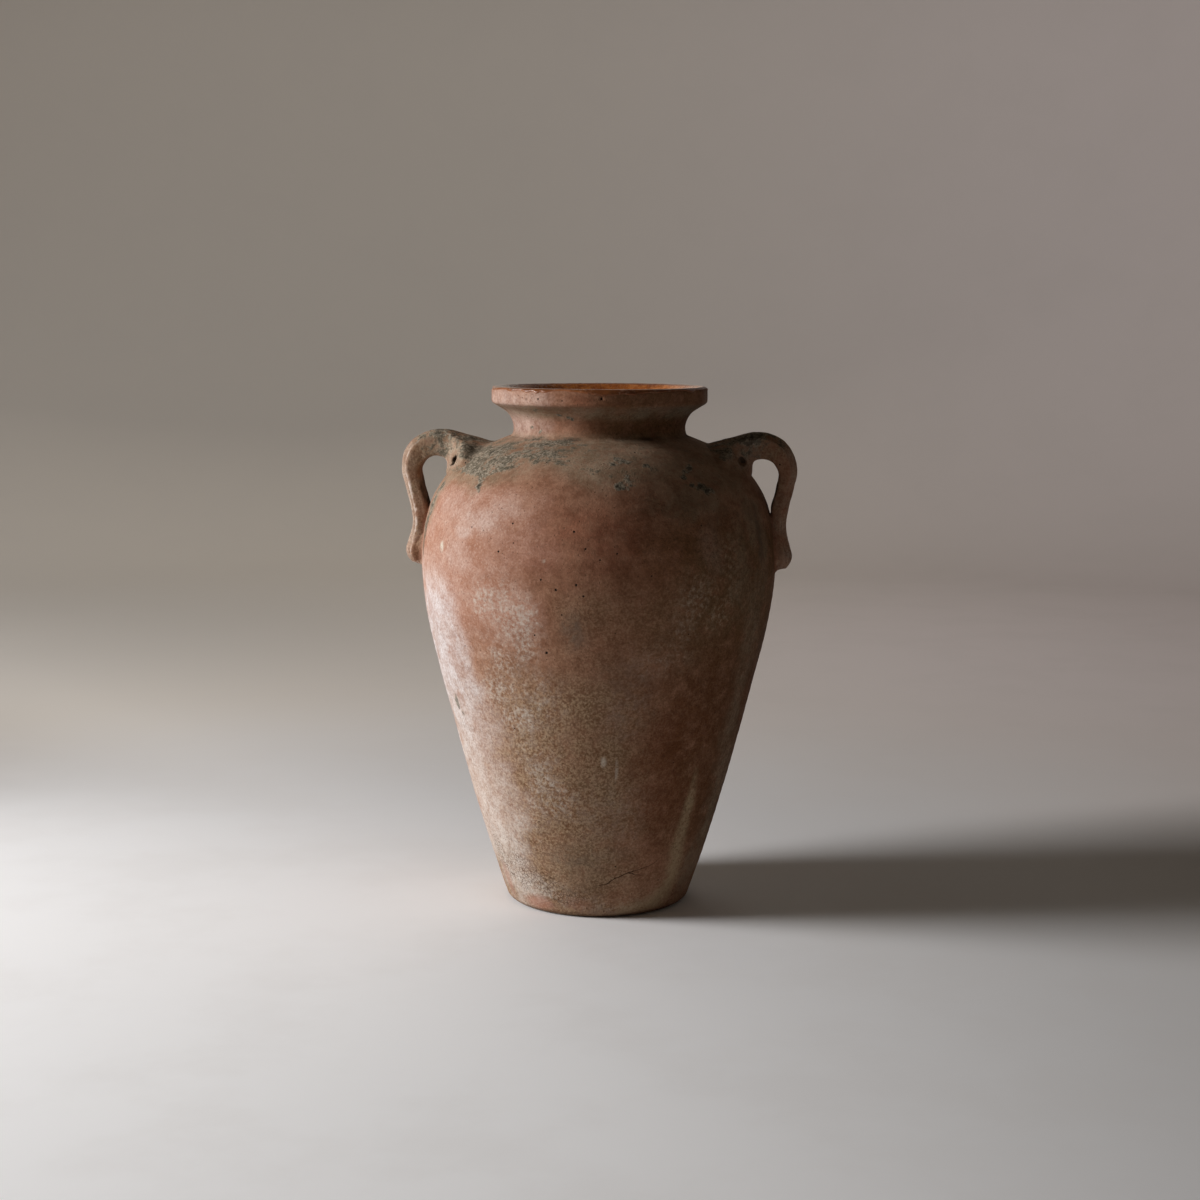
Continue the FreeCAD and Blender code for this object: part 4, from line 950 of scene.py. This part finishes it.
def make_handle(side, seed, tune, mirror):
    g = 0.8
    verts, faces = nets(handle_field, (74.4, -62.4, 264.0), (165.0, 62.4, 389.0), g, tune)
    w = wall(verts[:, 0], verts[:, 1], verts[:, 2])
    hold = 1.0 - smooth(0.2, 2.0, w)
    verts, edges, deg = relax(verts, faces, 2, 0.5, hold)
    normals = vertex_normals(verts, faces)
    free = smooth(0.4, 3.2, w)
    p = verts.copy()
    bump = 0.42 * noise(p, 26.0, 90 + seed) + 0.26 * noise(p, 11.0, 91 + seed) + 0.13 * noise(p, 5.0, 92 + seed) + 0.06 * noise(p, 2.4, 93 + seed)
    # drawn lines along the strap where it was pulled through the fingers
    i, u, _ = nearest(p[:, 0], p[:, 2])
    pulled = np.stack([i * 0.06, p[:, 1] * 1.0, np.zeros(len(p))], 1)
    bump += 0.16 * noise(pulled * np.array((0.35, 1, 1)), 2.6, 94 + seed) * smooth(0.0, 3.0, u)
    for k in range(9):      # small nicks
        h = hashed(np.array([k]), np.array([seed]), np.array([7]), 5)[0]
        c = verts[int(h) % len(verts)]
        e = np.linalg.norm(p - c, axis=1) / (1.4 + (int(h) >> 8) % 10 * 0.12)
        bump -= 0.5 * smooth(1.2, 0.2, e)
    verts = verts + normals * (bump * free)[:, None]
    verts[:, 0] += (tune[3] - 1.0) * np.clip(verts[:, 0] - 123.0, 0.0, None) * smooth(0.5, 4.0, w)
    keep = {"edges": edges, "deg": deg, "y": 14.0}
    strap = cut_piece("jar_%s_handle" % side, verts, faces, dict(keep, mode="inside"), seed, mirror)
    root = cut_piece("jar_%s_handle_root_wad" % side, verts, faces, dict(keep, mode="outside"), seed, mirror)
    tv, tf = nets(tail_field, (130.8, -24.0, 261.0), (160.0, 24.0, 316.2), 0.6, tune)
    tw = wall(tv[:, 0], tv[:, 1], tv[:, 2])
    tv, te, td = relax(tv, tf, 2, 0.5, 1.0 - smooth(0.2, 1.2, tw))
    tn = vertex_normals(tv, tf)
    tv = tv + tn * ((0.30 * noise(tv, 9.0, 95 + seed) + 0.14 * noise(tv, 4.0, 96 + seed)) * smooth(0.3, 1.8, tw))[:, None]
    tv[:, 0] += (tune[3] - 1.0) * np.clip(tv[:, 0] - 123.0, 0.0, None) * smooth(0.5, 4.0, tw)
    tail = cut_piece("jar_%s_handle_tail_wad" % side, tv, tf, {"edges": te, "deg": td, "mode": "whole"}, seed + 3, mirror)
    pieces[side + "_handle"], pieces[side + "_handle_root_wad"], pieces[side + "_handle_tail_wad"] = strap, root, tail


make_handle("left", 0, (1.0, 1.06, 0.35, 1.05), True)
make_handle("right", 40, (1.12, 1.04, -0.3, 0.96), False)

# =================================================================== materials


class Graph:
    """Short calls for building a material's nodes."""

    def __init__(self, name):
        self.mat = bpy.data.materials.new(name)
        self.mat.use_nodes = True
        self.tree = self.mat.node_tree
        self.tree.nodes.clear()
        self.out = self.node("ShaderNodeOutputMaterial")
        self.bsdf = self.node("ShaderNodeBsdfPrincipled")
        self.tree.links.new(self.bsdf.outputs["BSDF"], self.out.inputs["Surface"])
        coord = self.node("ShaderNodeTexCoord")
        scale = self.node("ShaderNodeMapping")
        scale.inputs["Scale"].default_value = (1000.0, 1000.0, 1000.0)
        self.tree.links.new(coord.outputs["Object"], scale.inputs["Vector"])
        self.mm = scale.outputs["Vector"]

    def node(self, kind, **props):
        n = self.tree.nodes.new(kind)
        for k, v in props.items():
            setattr(n, k, v)
        return n

    def put(self, socket, value):
        if isinstance(value, bpy.types.NodeSocket):
            self.tree.links.new(value, socket)
        elif isinstance(value, (tuple, list)) and len(value) == 3 and socket.type == "RGBA":
            socket.default_value = (*value, 1.0)
        else:
            socket.default_value = value

    def math(self, op, a, b=None, clamp=False):
        n = self.node("ShaderNodeMath", operation=op, use_clamp=clamp)
        self.put(n.inputs[0], a)
        if b is not None:
            self.put(n.inputs[1], b)
        return n.outputs[0]

    def mul(self, a, b):
        return self.math("MULTIPLY", a, b)

    def add(self, a, b):
        return self.math("ADD", a, b)

    def madd(self, a, b, c):
        n = self.node("ShaderNodeMath", operation="MULTIPLY_ADD")
        for k, v in enumerate((a, b, c)):
            self.put(n.inputs[k], v)
        return n.outputs[0]

    def ease(self, x, a, b, to=(0.0, 1.0)):
        n = self.node("ShaderNodeMapRange", interpolation_type="SMOOTHSTEP")
        for k, v in zip(("Value", "From Min", "From Max", "To Min", "To Max"), (x, a, b, to[0], to[1])):
            self.put(n.inputs[k], v)
        return n.outputs[0]

    def mix(self, fac, a, b):
        n = self.node("ShaderNodeMix", data_type="RGBA", clamp_factor=True)
        self.put(n.inputs[0], fac)
        self.put(n.inputs[6], a)
        self.put(n.inputs[7], b)
        return n.outputs[2]

    def noise(self, size, detail=3.0, rough=0.55, warp=0.0, vector=None):
        n = self.node("ShaderNodeTexNoise")
        self.put(n.inputs["Vector"], self.mm if vector is None else vector)
        for k, v in (("Scale", 1.0 / size), ("Detail", detail), ("Roughness", rough), ("Distortion", warp)):
            n.inputs[k].default_value = v
        return n.outputs["Fac"]

    def cells(self, size, feature="F1", vector=None, random=1.0):
        n = self.node("ShaderNodeTexVoronoi", feature=feature)
        self.put(n.inputs["Vector"], self.mm if vector is None else vector)
        n.inputs["Scale"].default_value = 1.0 / size
        n.inputs["Randomness"].default_value = random
        return n

    def parts(self, name):
        a = self.node("ShaderNodeAttribute", attribute_name=name)
        s = self.node("ShaderNodeSeparateXYZ")
        self.tree.links.new(a.outputs["Vector"], s.inputs[0])
        return s.outputs[0], s.outputs[1], s.outputs[2]

    def moved(self, vector, by):
        n = self.node("ShaderNodeVectorMath", operation="ADD")
        self.put(n.inputs[0], vector)
        n.inputs[1].default_value = by
        return n.outputs[0]

    def scaled(self, colour, by):
        n = self.node("ShaderNodeVectorMath", operation="SCALE")
        self.put(n.inputs[0], colour)
        self.put(n.inputs["Scale"], by)
        return n.outputs[0]

    def warped(self, field, amount):
        """Coordinates pushed about by a noise field."""
        n = self.node("ShaderNodeVectorMath", operation="ADD")
        self.put(n.inputs[0], self.mm)
        self.put(n.inputs[1], self.mul(field, amount))
        return n.outputs[0]

    def squeezed(self, by):
        n = self.node("ShaderNodeVectorMath", operation="MULTIPLY")
        self.put(n.inputs[0], self.mm)
        n.inputs[1].default_value = by
        return n.outputs[0]


def on_wall(phi, z):
    """Point of the finished outside at an angle from the front and a height, in mm."""
    arc = float(arc_at(z))
    r = float(np.interp(arc, ARC, OUTLINE[:, 0]))
    zz = float(np.interp(arc, ARC, OUTLINE[:, 1]))
    f = math.radians(phi)
    base = np.array([[r * math.sin(f), -r * math.cos(f), zz]])
    d = float(relief(base, np.array([arc]))[0])
    nr, nz = (float(np.interp(arc, EVEN, EVEN_N[:, c])) for c in (0, 1))
    return (base + d * np.array([[nr * math.sin(f), -nr * math.cos(f), nz]]))[0]


PINHOLES = [(-21.0, 320.3, .8), (-0.6, 315.9, 1.0), (-25.0, 299.0, 1.0), (-10.5, 279.7, .9), (-5.9, 272.5, 1.1), (0.3, 276.6, 1.1), (2.5, 268.2, .9),
            (-4.2, 253.6, .6), (-9.6, 223.4, 1.2), (7.4, 295.4, .8), (12.5, 300.0, .8), (3.0, 303.5, .9), (-25.9, 411.9, .8), (-12.2, 410.9, .6), (8.0, 412.8, 1.0), (-20.0, 306.0, .6), (23.0, 283.0, .8)]

CLAY_DEEP, CLAY_WARM = (0.215, 0.096, 0.055), (0.335, 0.172, 0.108)
RED_DEEP, RED_WARM = (0.200, 0.070, 0.039), (0.320, 0.128, 0.074)
TAN_DEEP, TAN_PALE = (0.150, 0.085, 0.043), (0.392, 0.282, 0.174)
SALMON_DEEP, SALMON_PALE = (0.346, 0.166, 0.107), (0.442, 0.275, 0.212)
# the whitish haze colour is near white, partly a painted highlight
BLOOM_AND_HIGHLIGHT, LIME = (0.620, 0.602, 0.608), (0.518, 0.462, 0.404)
ASH, SOOT, LICHEN, LICHEN_PALE = (0.165, 0.126, 0.096), (0.058, 0.052, 0.037), (0.295, 0.258, 0.200), (0.460, 0.412, 0.335)
OLIVE = (0.222, 0.165, 0.108)


def clay(name, kind):
    g = Graph(name)
    soot, pale_and_highlight, red = g.parts("mA")
    tan, efflo, cloud = g.parts("mB")
    crackle, marks, shade_and_grime = g.parts("mC")
    crack1, crack2, salmon = g.parts("mD")
    film, streak, shade_and_wear = g.parts("mE")
    big, mid, mid2 = g.noise(58, 2, .58), g.noise(19, 5, .66), g.noise(10.5, 4, .68, .25, g.moved(g.mm, (91, 37, 12)))
    fine, fine2 = g.noise(3.6, 3, .68), g.noise(2.7, 2, .64, 0.0, g.moved(g.mm, (13, 71, 45)))
    stip, grain = g.noise(1.7, 2, .6, 0.0, g.moved(g.mm, (7, 3, 29))), g.noise(0.85, 1, .6)
    place = g.node("ShaderNodeSeparateXYZ")
    g.put(place.inputs[0], g.mm)
    height = place.outputs[2]
    # fired clay, mottled from orange to brown
    col = g.mix(g.ease(mid, .34, .68), CLAY_DEEP, CLAY_WARM)
    col = g.mix(g.mul(g.ease(fine, .44, .72), .30), col, (0.385, 0.225, 0.150))
    col = g.mix(g.mul(g.mul(red, g.ease(mid2, .18, .68)), .9), col, g.mix(g.ease(mid, .36, .66), RED_DEEP, RED_WARM))
    # tan skin with a fine stipple
    spots = g.ease(g.madd(fine2, .48, g.mul(stip, .58)), .44, .63)
    skin = g.mix(spots, TAN_DEEP, TAN_PALE)
    skin = g.mix(g.mul(g.ease(mid2, .40, .66), .45), skin, (0.265, 0.158, 0.098))
    skin = g.mix(g.mul(g.ease(mid, .52, .72), .45), skin, (0.30, 0.225, 0.160))
    col = g.mix(g.mul(tan, g.ease(mid2, .18, .62, (.42, .92))), col, skin)
    if kind == "handle":
        # on a handle this mask paints the rubbed ridges pale, partly as a painted highlight
        col = g.mix(g.mul(g.ease(shade_and_wear, .05, .80), .66), col, (0.540, 0.440, 0.350))
    else:
        # painted shade: the right side and neck are darkened to a deep brown
        col = g.mix(g.mul(g.mul(shade_and_wear, g.ease(mid2, .10, .64)), .80), col, g.mix(g.ease(height, 190.0, 262.0), (0.102, 0.038, 0.012), (0.120, 0.064, 0.022)))
    # salmon bloom of the upper body, and the whitish haze over it, partly a painted highlight on the lit left side
    rosy = g.mix(g.ease(g.madd(mid, .6, g.mul(mid2, .4)), .33, .69), SALMON_DEEP, SALMON_PALE)
    rosy = g.mix(g.mul(g.ease(fine, .52, .74), .40), rosy, (0.470, 0.305, 0.240))
    rosy = g.mix(g.mul(g.ease(fine2, .46, .28), .50), rosy, (0.270, 0.118, 0.072))
    rosy = g.mix(g.mul(g.ease(stip, .53, .70), .42), rosy, (0.520, 0.375, 0.305))
    rosy = g.mix(g.mul(g.ease(stip, .45, .30), .38), rosy, (0.250, 0.108, 0.064))
    col = g.mix(g.mul(salmon, g.ease(mid2, .24, .60, (.76, .97))), col, rosy)
    haze_and_highlight = g.mul(pale_and_highlight, g.ease(g.madd(mid2, .62, g.mul(mid, .38)), .08, .70))
    haze_and_highlight = g.mul(haze_and_highlight, g.ease(g.madd(fine, .5, g.mul(stip, .5)), .34, .60, (.54, 1.0)))
    bloom_and_highlight = g.mix(g.ease(height, 90.0, 200.0), (0.630, 0.576, 0.528), BLOOM_AND_HIGHLIGHT)
    bloom_and_highlight = g.mix(g.ease(height, 250.0, 286.0), bloom_and_highlight, (0.600, 0.518, 0.480))
    col = g.mix(g.mul(haze_and_highlight, .90), col, bloom_and_highlight)
    # lime salts: a broken film and grains, in darker, warmer colours where shade is painted on the right
    film2 = g.mul(efflo, g.ease(g.madd(mid2, .5, g.mul(fine, .5)), .40, .66))
    col = g.mix(g.mul(film2, .58), col, g.mix(shade_and_wear, (0.440, 0.386, 0.336), (0.365, 0.275, 0.195)))
    salt = g.ease(g.add(g.madd(fine, .50, g.mul(fine2, .34)), g.mul(efflo, .20)), .53, .70)
    salt = g.mul(g.mul(salt, g.ease(efflo, .05, .80)), .46)
    col = g.mix(salt, col, g.mix(shade_and_wear, LIME, (0.430, 0.338, 0.250)))
    col = g.mix(g.mul(g.mul(cloud, g.ease(g.madd(mid2, .6, g.mul(fine, .4)), .32, .60)), .85), col, ASH)
    col = g.mix(g.mul(g.mul(marks, g.ease(fine, .20, .50)), .92), col, (0.54, 0.470, 0.390))
    col = g.mix(g.mul(g.mul(streak, g.ease(g.madd(fine, .5, g.mul(mid2, .5)), .22, .58)), .78), col, (0.390, 0.292, 0.176))
    # shrinkage crackle near the foot
    net = g.cells(3.4, "DISTANCE_TO_EDGE", g.warped(fine, 2.4)).outputs["Distance"]
    lines = g.mul(g.ease(net, .070, .010), g.ease(g.madd(mid2, .6, crackle), .55, 1.0))
    col = g.mix(g.mul(lines, .75), col, (0.10, 0.050, 0.028))
    # olive film, then soot and lichen grains
    col = g.mix(g.mul(film, g.ease(g.madd(mid2, .5, g.mul(fine, .5)), .28, .62, (.30, .92))), col, g.mix(g.ease(mid, .38, .64), OLIVE, (0.300, 0.235, 0.165)))
    clump = g.ease(g.add(g.add(soot, g.madd(fine, 1.3, -.65)), g.madd(mid2, 1.7, -.85)), .50, .98)
    crumbs = g.cells(1.7, "F1").outputs["Distance"]
    crust = g.mix(g.ease(g.madd(stip, .45, g.mul(fine2, .55)), .36, .60), SOOT, LICHEN)
    crust = g.mix(g.mul(g.mul(g.ease(crumbs, .46, .18), g.ease(grain, .45, .62)), .75), crust, LICHEN_PALE)
    crust = g.mix(g.mul(g.ease(g.madd(mid2, .5, g.mul(fine, .5)), .49, .59), .74), crust, SOOT)
    col = g.mix(g.mul(clump, .86), col, crust)
    heavy = g.mul(g.ease(soot, 1.02, 1.16), g.ease(fine, .30, .58))
    col = g.mix(g.mul(heavy, .8), col, (0.030, 0.026, 0.019))
    # painted shade, with some grime: darker in hollows and creases, under the foot and rim, and where the handles meet
    # the wall
    col = g.mix(g.mul(g.ease(g.madd(fine, .5, shade_and_grime), .38, 1.15), .85), col, (0.050, 0.034, 0.022))
    # cracks
    wander = g.madd(stip, 1.8, g.madd(fine, 3.6, -2.7))
    line = g.math("MAXIMUM", g.ease(g.math("ABSOLUTE", g.add(crack1, wander)), .68, .18), g.ease(g.math("ABSOLUTE", g.add(crack2, wander)), .55, .14))
    col = g.mix(g.mul(line, .92), col, (0.044, 0.018, 0.009))
    # pinholes: a sparse random field and a few single ones
    sparse = g.cells(13.0, "F1")
    tiny = g.mul(g.ease(sparse.outputs["Distance"], .060, .030), g.ease(big, .50, .58))
    speck = g.mul(g.ease(g.cells(4.6, "F1", g.moved(g.mm, (31, 5, 17))).outputs["Distance"], .165, .06), g.ease(mid, .38, .56))
    pins = tiny
    if kind == "body":
        for phi, z, rad in PINHOLES:
            n = g.node("ShaderNodeVectorMath", operation="DISTANCE")
            g.put(n.inputs[0], g.mm)
            n.inputs[1].default_value = tuple(on_wall(phi, z))
            pins = g.math("MAXIMUM", pins, g.ease(g.add(n.outputs["Value"], g.madd(grain, .7, -.35)), rad * 1.0, rad * .55))
    pores = g.mul(g.ease(g.cells(2.9, "F1", g.moved(g.mm, (57, 23, 81))).outputs["Distance"], .20, .09), g.ease(mid2, .42, .58))
    col = g.mix(g.mul(pores, .50), col, (0.090, 0.044, 0.024))
    col = g.mix(g.mul(speck, .62), col, (0.070, 0.034, 0.018))
    col = g.mix(pins, col, (0.012, 0.007, 0.005))
    if kind == "slip":
        col = g.mix(.06, col, (0.40, 0.26, 0.18))
    # grain of the bare surface, in light and shade
    tooth = g.madd(grain, .24, g.madd(stip, .26, g.madd(fine, .22, -.36)))
    calm = g.math("MAXIMUM", g.math("MAXIMUM", salmon, pale_and_highlight), g.mul(tan, .92))
    gain = g.madd(g.math("SUBTRACT", 1.0, calm, True), 1.1, 1.0)
    if kind != "handle":
        # the grain is stronger where shade is painted on the right side
        gain = g.madd(shade_and_wear, 1.7, gain)
    tooth = g.madd(tooth, gain, 1.0)
    col = g.scaled(col, tooth)
    g.put(g.bsdf.inputs["Base Color"], col)
    # relief in mm
    h = g.madd(grain, .12, g.madd(fine, .14, g.mul(stip, .16)))
    h = g.madd(mid2, .07, h)
    h = g.madd(g.mul(spots, tan), .05, h)
    h = g.madd(g.mul(clump, g.madd(fine2, .8, .2)), .24, h)
    h = g.madd(g.math("MAXIMUM", salt, haze_and_highlight), .07, h)
    h = g.madd(lines, -.20, h)
    h = g.madd(line, -.45, h)
    h = g.madd(pins, -.7, h)
    h = g.madd(g.math("MAXIMUM", speck, g.mul(pores, .6)), -.16, h)
    bump = g.node("ShaderNodeBump")
    bump.inputs["Strength"].default_value = 0.9
    bump.inputs["Distance"].default_value = 0.001
    g.put(bump.inputs["Height"], h)
    g.tree.links.new(bump.outputs["Normal"], g.bsdf.inputs["Normal"])
    rough = g.madd(fine, .10, .84)
    rough = g.madd(salmon, -.08, rough)
    rough = g.madd(clump, .06, rough)
    g.put(g.bsdf.inputs["Roughness"], rough)
    g.bsdf.inputs["Specular IOR Level"].default_value = 0.10
    return g.mat


def glaze(name, lip):
    g = Graph(name)
    deep_shade, streak, edge = g.parts("mG")
    run_down = g.noise(7.0, 4, .6, .4, g.squeezed((1.0, 1.0, 0.18)))
    pool, mott = g.noise(22, 3, .55), g.noise(3.0, 3, .6)
    amber = g.mix(g.ease(run_down, .34, .68), (0.235, 0.062, 0.014), (0.500, 0.175, 0.042))
    amber = g.mix(g.mul(g.ease(pool, .44, .68), .55), amber, (0.150, 0.036, 0.009))
    amber = g.mix(g.mul(g.ease(g.madd(streak, .35, .4), .45, .80), .45), amber, (0.56, 0.235, 0.070))
    if lip:
        amber = g.mix(.76, amber, (0.112, 0.036, 0.016))
        amber = g.mix(g.mul(g.ease(edge, .45, 1.0), .55), amber, (0.300, 0.105, 0.038))
        amber = g.mix(g.mul(g.ease(g.madd(mott, .8, g.mul(pool, .4)), .62, .80), .7), amber, (0.330, 0.185, 0.120))
    else:
        # painted shade: the lining darkens deeper inside the jar
        amber = g.mix(g.mul(deep_shade, .35), amber, (0.120, 0.034, 0.010))
    craze = g.cells(9.0, "DISTANCE_TO_EDGE", g.mm).outputs["Distance"]
    hair = g.mul(g.ease(craze, .030, .006), g.ease(pool, .40, .60))
    amber = g.mix(g.mul(hair, .5), amber, (0.060, 0.020, 0.008))
    pits = g.mul(g.ease(g.cells(6.0, "F1", g.moved(g.mm, (3, 9, 27))).outputs["Distance"], .10, .05), g.ease(mott, .45, .6))
    amber = g.mix(g.mul(pits, .7), amber, (0.045, 0.018, 0.008))
    g.put(g.bsdf.inputs["Base Color"], amber)
    rough = g.madd(g.ease(mott, .40, .75), .16, .29 if lip else .22)
    g.put(g.bsdf.inputs["Roughness"], g.madd(pits, .4, rough))
    h = g.madd(run_down, .08 if lip else .16, g.mul(mott, .04))
    h = g.madd(hair, -.05, g.madd(pits, -.25, h))
    bump = g.node("ShaderNodeBump")
    bump.inputs["Strength"].default_value = 0.7
    bump.inputs["Distance"].default_value = 0.001
    g.put(bump.inputs["Height"], h)
    g.tree.links.new(bump.outputs["Normal"], g.bsdf.inputs["Normal"])
    g.bsdf.inputs["Specular IOR Level"].default_value = 0.38 if lip else 0.42
    return g.mat


CLAY_BODY, CLAY_HANDLE, CLAY_SLIP = clay("weathered_clay", "body"), clay("handle_clay", "handle"), clay("slip_line", "slip")
GLAZE_IN, GLAZE_LIP = glaze("amber_lining_glaze", False), glaze("amber_lip_glaze", True)

SLOTS = {}
for key in pieces:
    if key == "interior_glaze":
        SLOTS[key] = (GLAZE_IN, "glaze")
    elif key == "rim_glaze":
        SLOTS[key] = (GLAZE_LIP, "glaze")
    elif "seam" in key:
        SLOTS[key] = (CLAY_SLIP, "slip")
    elif "handle" in key:
        SLOTS[key] = (CLAY_HANDLE, "handle_clay")
    else:
        SLOTS[key] = (CLAY_BODY, "clay")

for key, ob in pieces.items():
    mat, slot = SLOTS[key]
    ob.data.materials.append(mat)
    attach(ob, "root")
    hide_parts(key)

# ============================================================ stage and light


def stage():
    """Pale floor that sweeps up all round into a warm grey wall, with a painted pool of light on the floor at front
    left and painted shade and light on the wall.
    """
    rows = [(0.0, 0.0)] + [(r, 0.0) for r in (0.2, 0.4, 0.7, 1.0, 1.4, 1.8, 2.2)]
    rows += [(2.2 + 1.1 * math.sin(a), 1.1 - 1.1 * math.cos(a)) for a in np.radians(np.arange(6, 91, 6))]
    rows += [(3.3, 1.8), (3.3, 2.6), (3.3, 3.4)]
    n = 96
    th = np.arange(n) * 2.0 * np.pi / n
    verts, counts = [], []
    for r, z in rows:
        if r == 0.0:
            verts.append(np.array([[0.0, 0.0, z]]))
            counts.append(1)
        else:
            verts.append(np.stack([r * np.cos(th), r * np.sin(th), np.full(n, z)], 1))
            counts.append(n)
    v = np.concatenate(verts)
    v[:, 2] -= 0.0003
    faces = [f[::-1] for f in ring_faces(counts, n, closed=False)]
    ob = add_mesh("studio_floor", v / MM, faces)
    g = Graph("studio_floor_paper")
    away = g.node("ShaderNodeVectorMath", operation="DISTANCE")
    flat = g.squeezed((1.0, 1.0, 1.0))
    g.put(away.inputs[0], flat)
    away.inputs[1].default_value = (-120.0, -420.0, 0.0)
    soft = g.noise(420.0, 4, .55)
    # painted falloff of light: the floor fades into the darker wall colour away from the jar
    tone = g.ease(g.madd(soft, 260.0, away.outputs["Value"]), 780.0, 1500.0)
    sides = g.node("ShaderNodeSeparateXYZ")
    g.put(sides.inputs[0], g.mm)
    turnx = g.math("ABSOLUTE", g.math("ARCTAN2", g.madd(sides.outputs[1], -.122, sides.outputs[0]), sides.outputs[1]))
    behind = g.ease(turnx, .80, 1.25, (1.0, 0.0))
    # painted shade and light: the wall is darker on the left and lighter on the right; it is also dark round the front
    # and sides
    wall_col = g.mix(behind, (0.22, 0.19, 0.16), g.mix(g.ease(sides.outputs[0], -900.0, 900.0), (0.655, 0.612, 0.560), (0.715, 0.655, 0.640)))
    # painted pool of light on the floor at front left
    near = g.node("ShaderNodeVectorMath", operation="DISTANCE")
    g.put(near.inputs[0], g.squeezed((1.4, 1.0, 1.0)))
    near.inputs[1].default_value = (-630.0, -950.0, 0.0)
    pool = g.mix(g.ease(near.outputs["Value"], 760.0, 1520.0), (0.915, 0.920, 0.935), (0.655, 0.652, 0.662))
    col = g.mix(tone, pool, wall_col)
    # painted shade on the wall at back left, painted light at back right
    for at, far, share, tint in (((-1050.0, 1300.0, 0.0), 1000.0, .36, (0.40, 0.385, 0.375)), ((620.0, 1450.0, 0.0), 1000.0, .55, (0.86, 0.785, 0.790))):
        off = g.node("ShaderNodeVectorMath", operation="DISTANCE")
        g.put(off.inputs[0], g.mm)
        off.inputs[1].default_value = at
        col = g.mix(g.mul(g.ease(off.outputs["Value"], far, .15 * far), share), col, tint)
    col = g.mix(g.mul(g.ease(g.noise(160.0, 5, .6), .42, .66), .10), col, (0.60, 0.56, 0.53))
    g.put(g.bsdf.inputs["Base Color"], col)
    g.bsdf.inputs["Roughness"].default_value = 0.9
    g.bsdf.inputs["Specular IOR Level"].default_value = 0.2
    ob.data.materials.append(g.mat)


stage()


def lamp(name, at, look, size, size_y, power, colour):
    light = bpy.data.lights.new(name, "AREA")
    light.shape = "RECTANGLE"
    light.size, light.size_y = size, size_y
    light.energy = power
    light.color = colour
    ob = bpy.data.objects.new(name, light)
    bpy.context.scene.collection.objects.link(ob)
    ob.location = at
    ob.rotation_mode = "QUATERNION"
    ob.rotation_quaternion = (Vector(look) - Vector(at)).to_track_quat("-Z", "Y")
    ob.visible_camera = False
    return ob


lamp("window_key", (-2.24, -0.52, 1.10), (0.0, 0.0, 0.2), 0.80, 1.2, 80.0, (1.0, 0.985, 0.975))
lamp("back_fill", (-0.75, 2.3, 1.3), (0.0, 0.0, 0.25), 1.6, 1.4, 4.0, (1.0, 0.92, 0.80))

world = bpy.data.worlds.new("studio_air")
bpy.context.scene.world = world
world.use_nodes = True
world.node_tree.nodes["Background"].inputs["Color"].default_value = (1.0, 0.82, 0.55, 1.0)
world.node_tree.nodes["Background"].inputs["Strength"].default_value = 0.048

# ====================================================================== camera
AZIMUTH, PITCH = math.radians(7.0), math.radians(7.816)
cam_data = bpy.data.cameras.new("camera")
cam_data.lens, cam_data.sensor_width = 60.886, 36.0
cam_data.clip_start, cam_data.clip_end = 0.05, 30.0
cam = bpy.data.objects.new("camera", cam_data)
bpy.context.scene.collection.objects.link(cam)
cam.location = (1.643 * math.sin(AZIMUTH), -1.643 * math.cos(AZIMUTH), 0.47135)
yaw = AZIMUTH - 1.3 / 2029.53
ahead = Vector((-math.sin(yaw) * math.cos(PITCH), math.cos(yaw) * math.cos(PITCH), -math.sin(PITCH)))
cam.rotation_mode = "QUATERNION"
cam.rotation_quaternion = ahead.to_track_quat("-Z", "Y") @ Quaternion((0.0, 0.0, 1.0), math.radians(0.23))
bpy.context.scene.camera = cam

bpy.context.scene.view_settings.view_transform = "Standard"
bpy.context.scene.view_settings.look = "None"
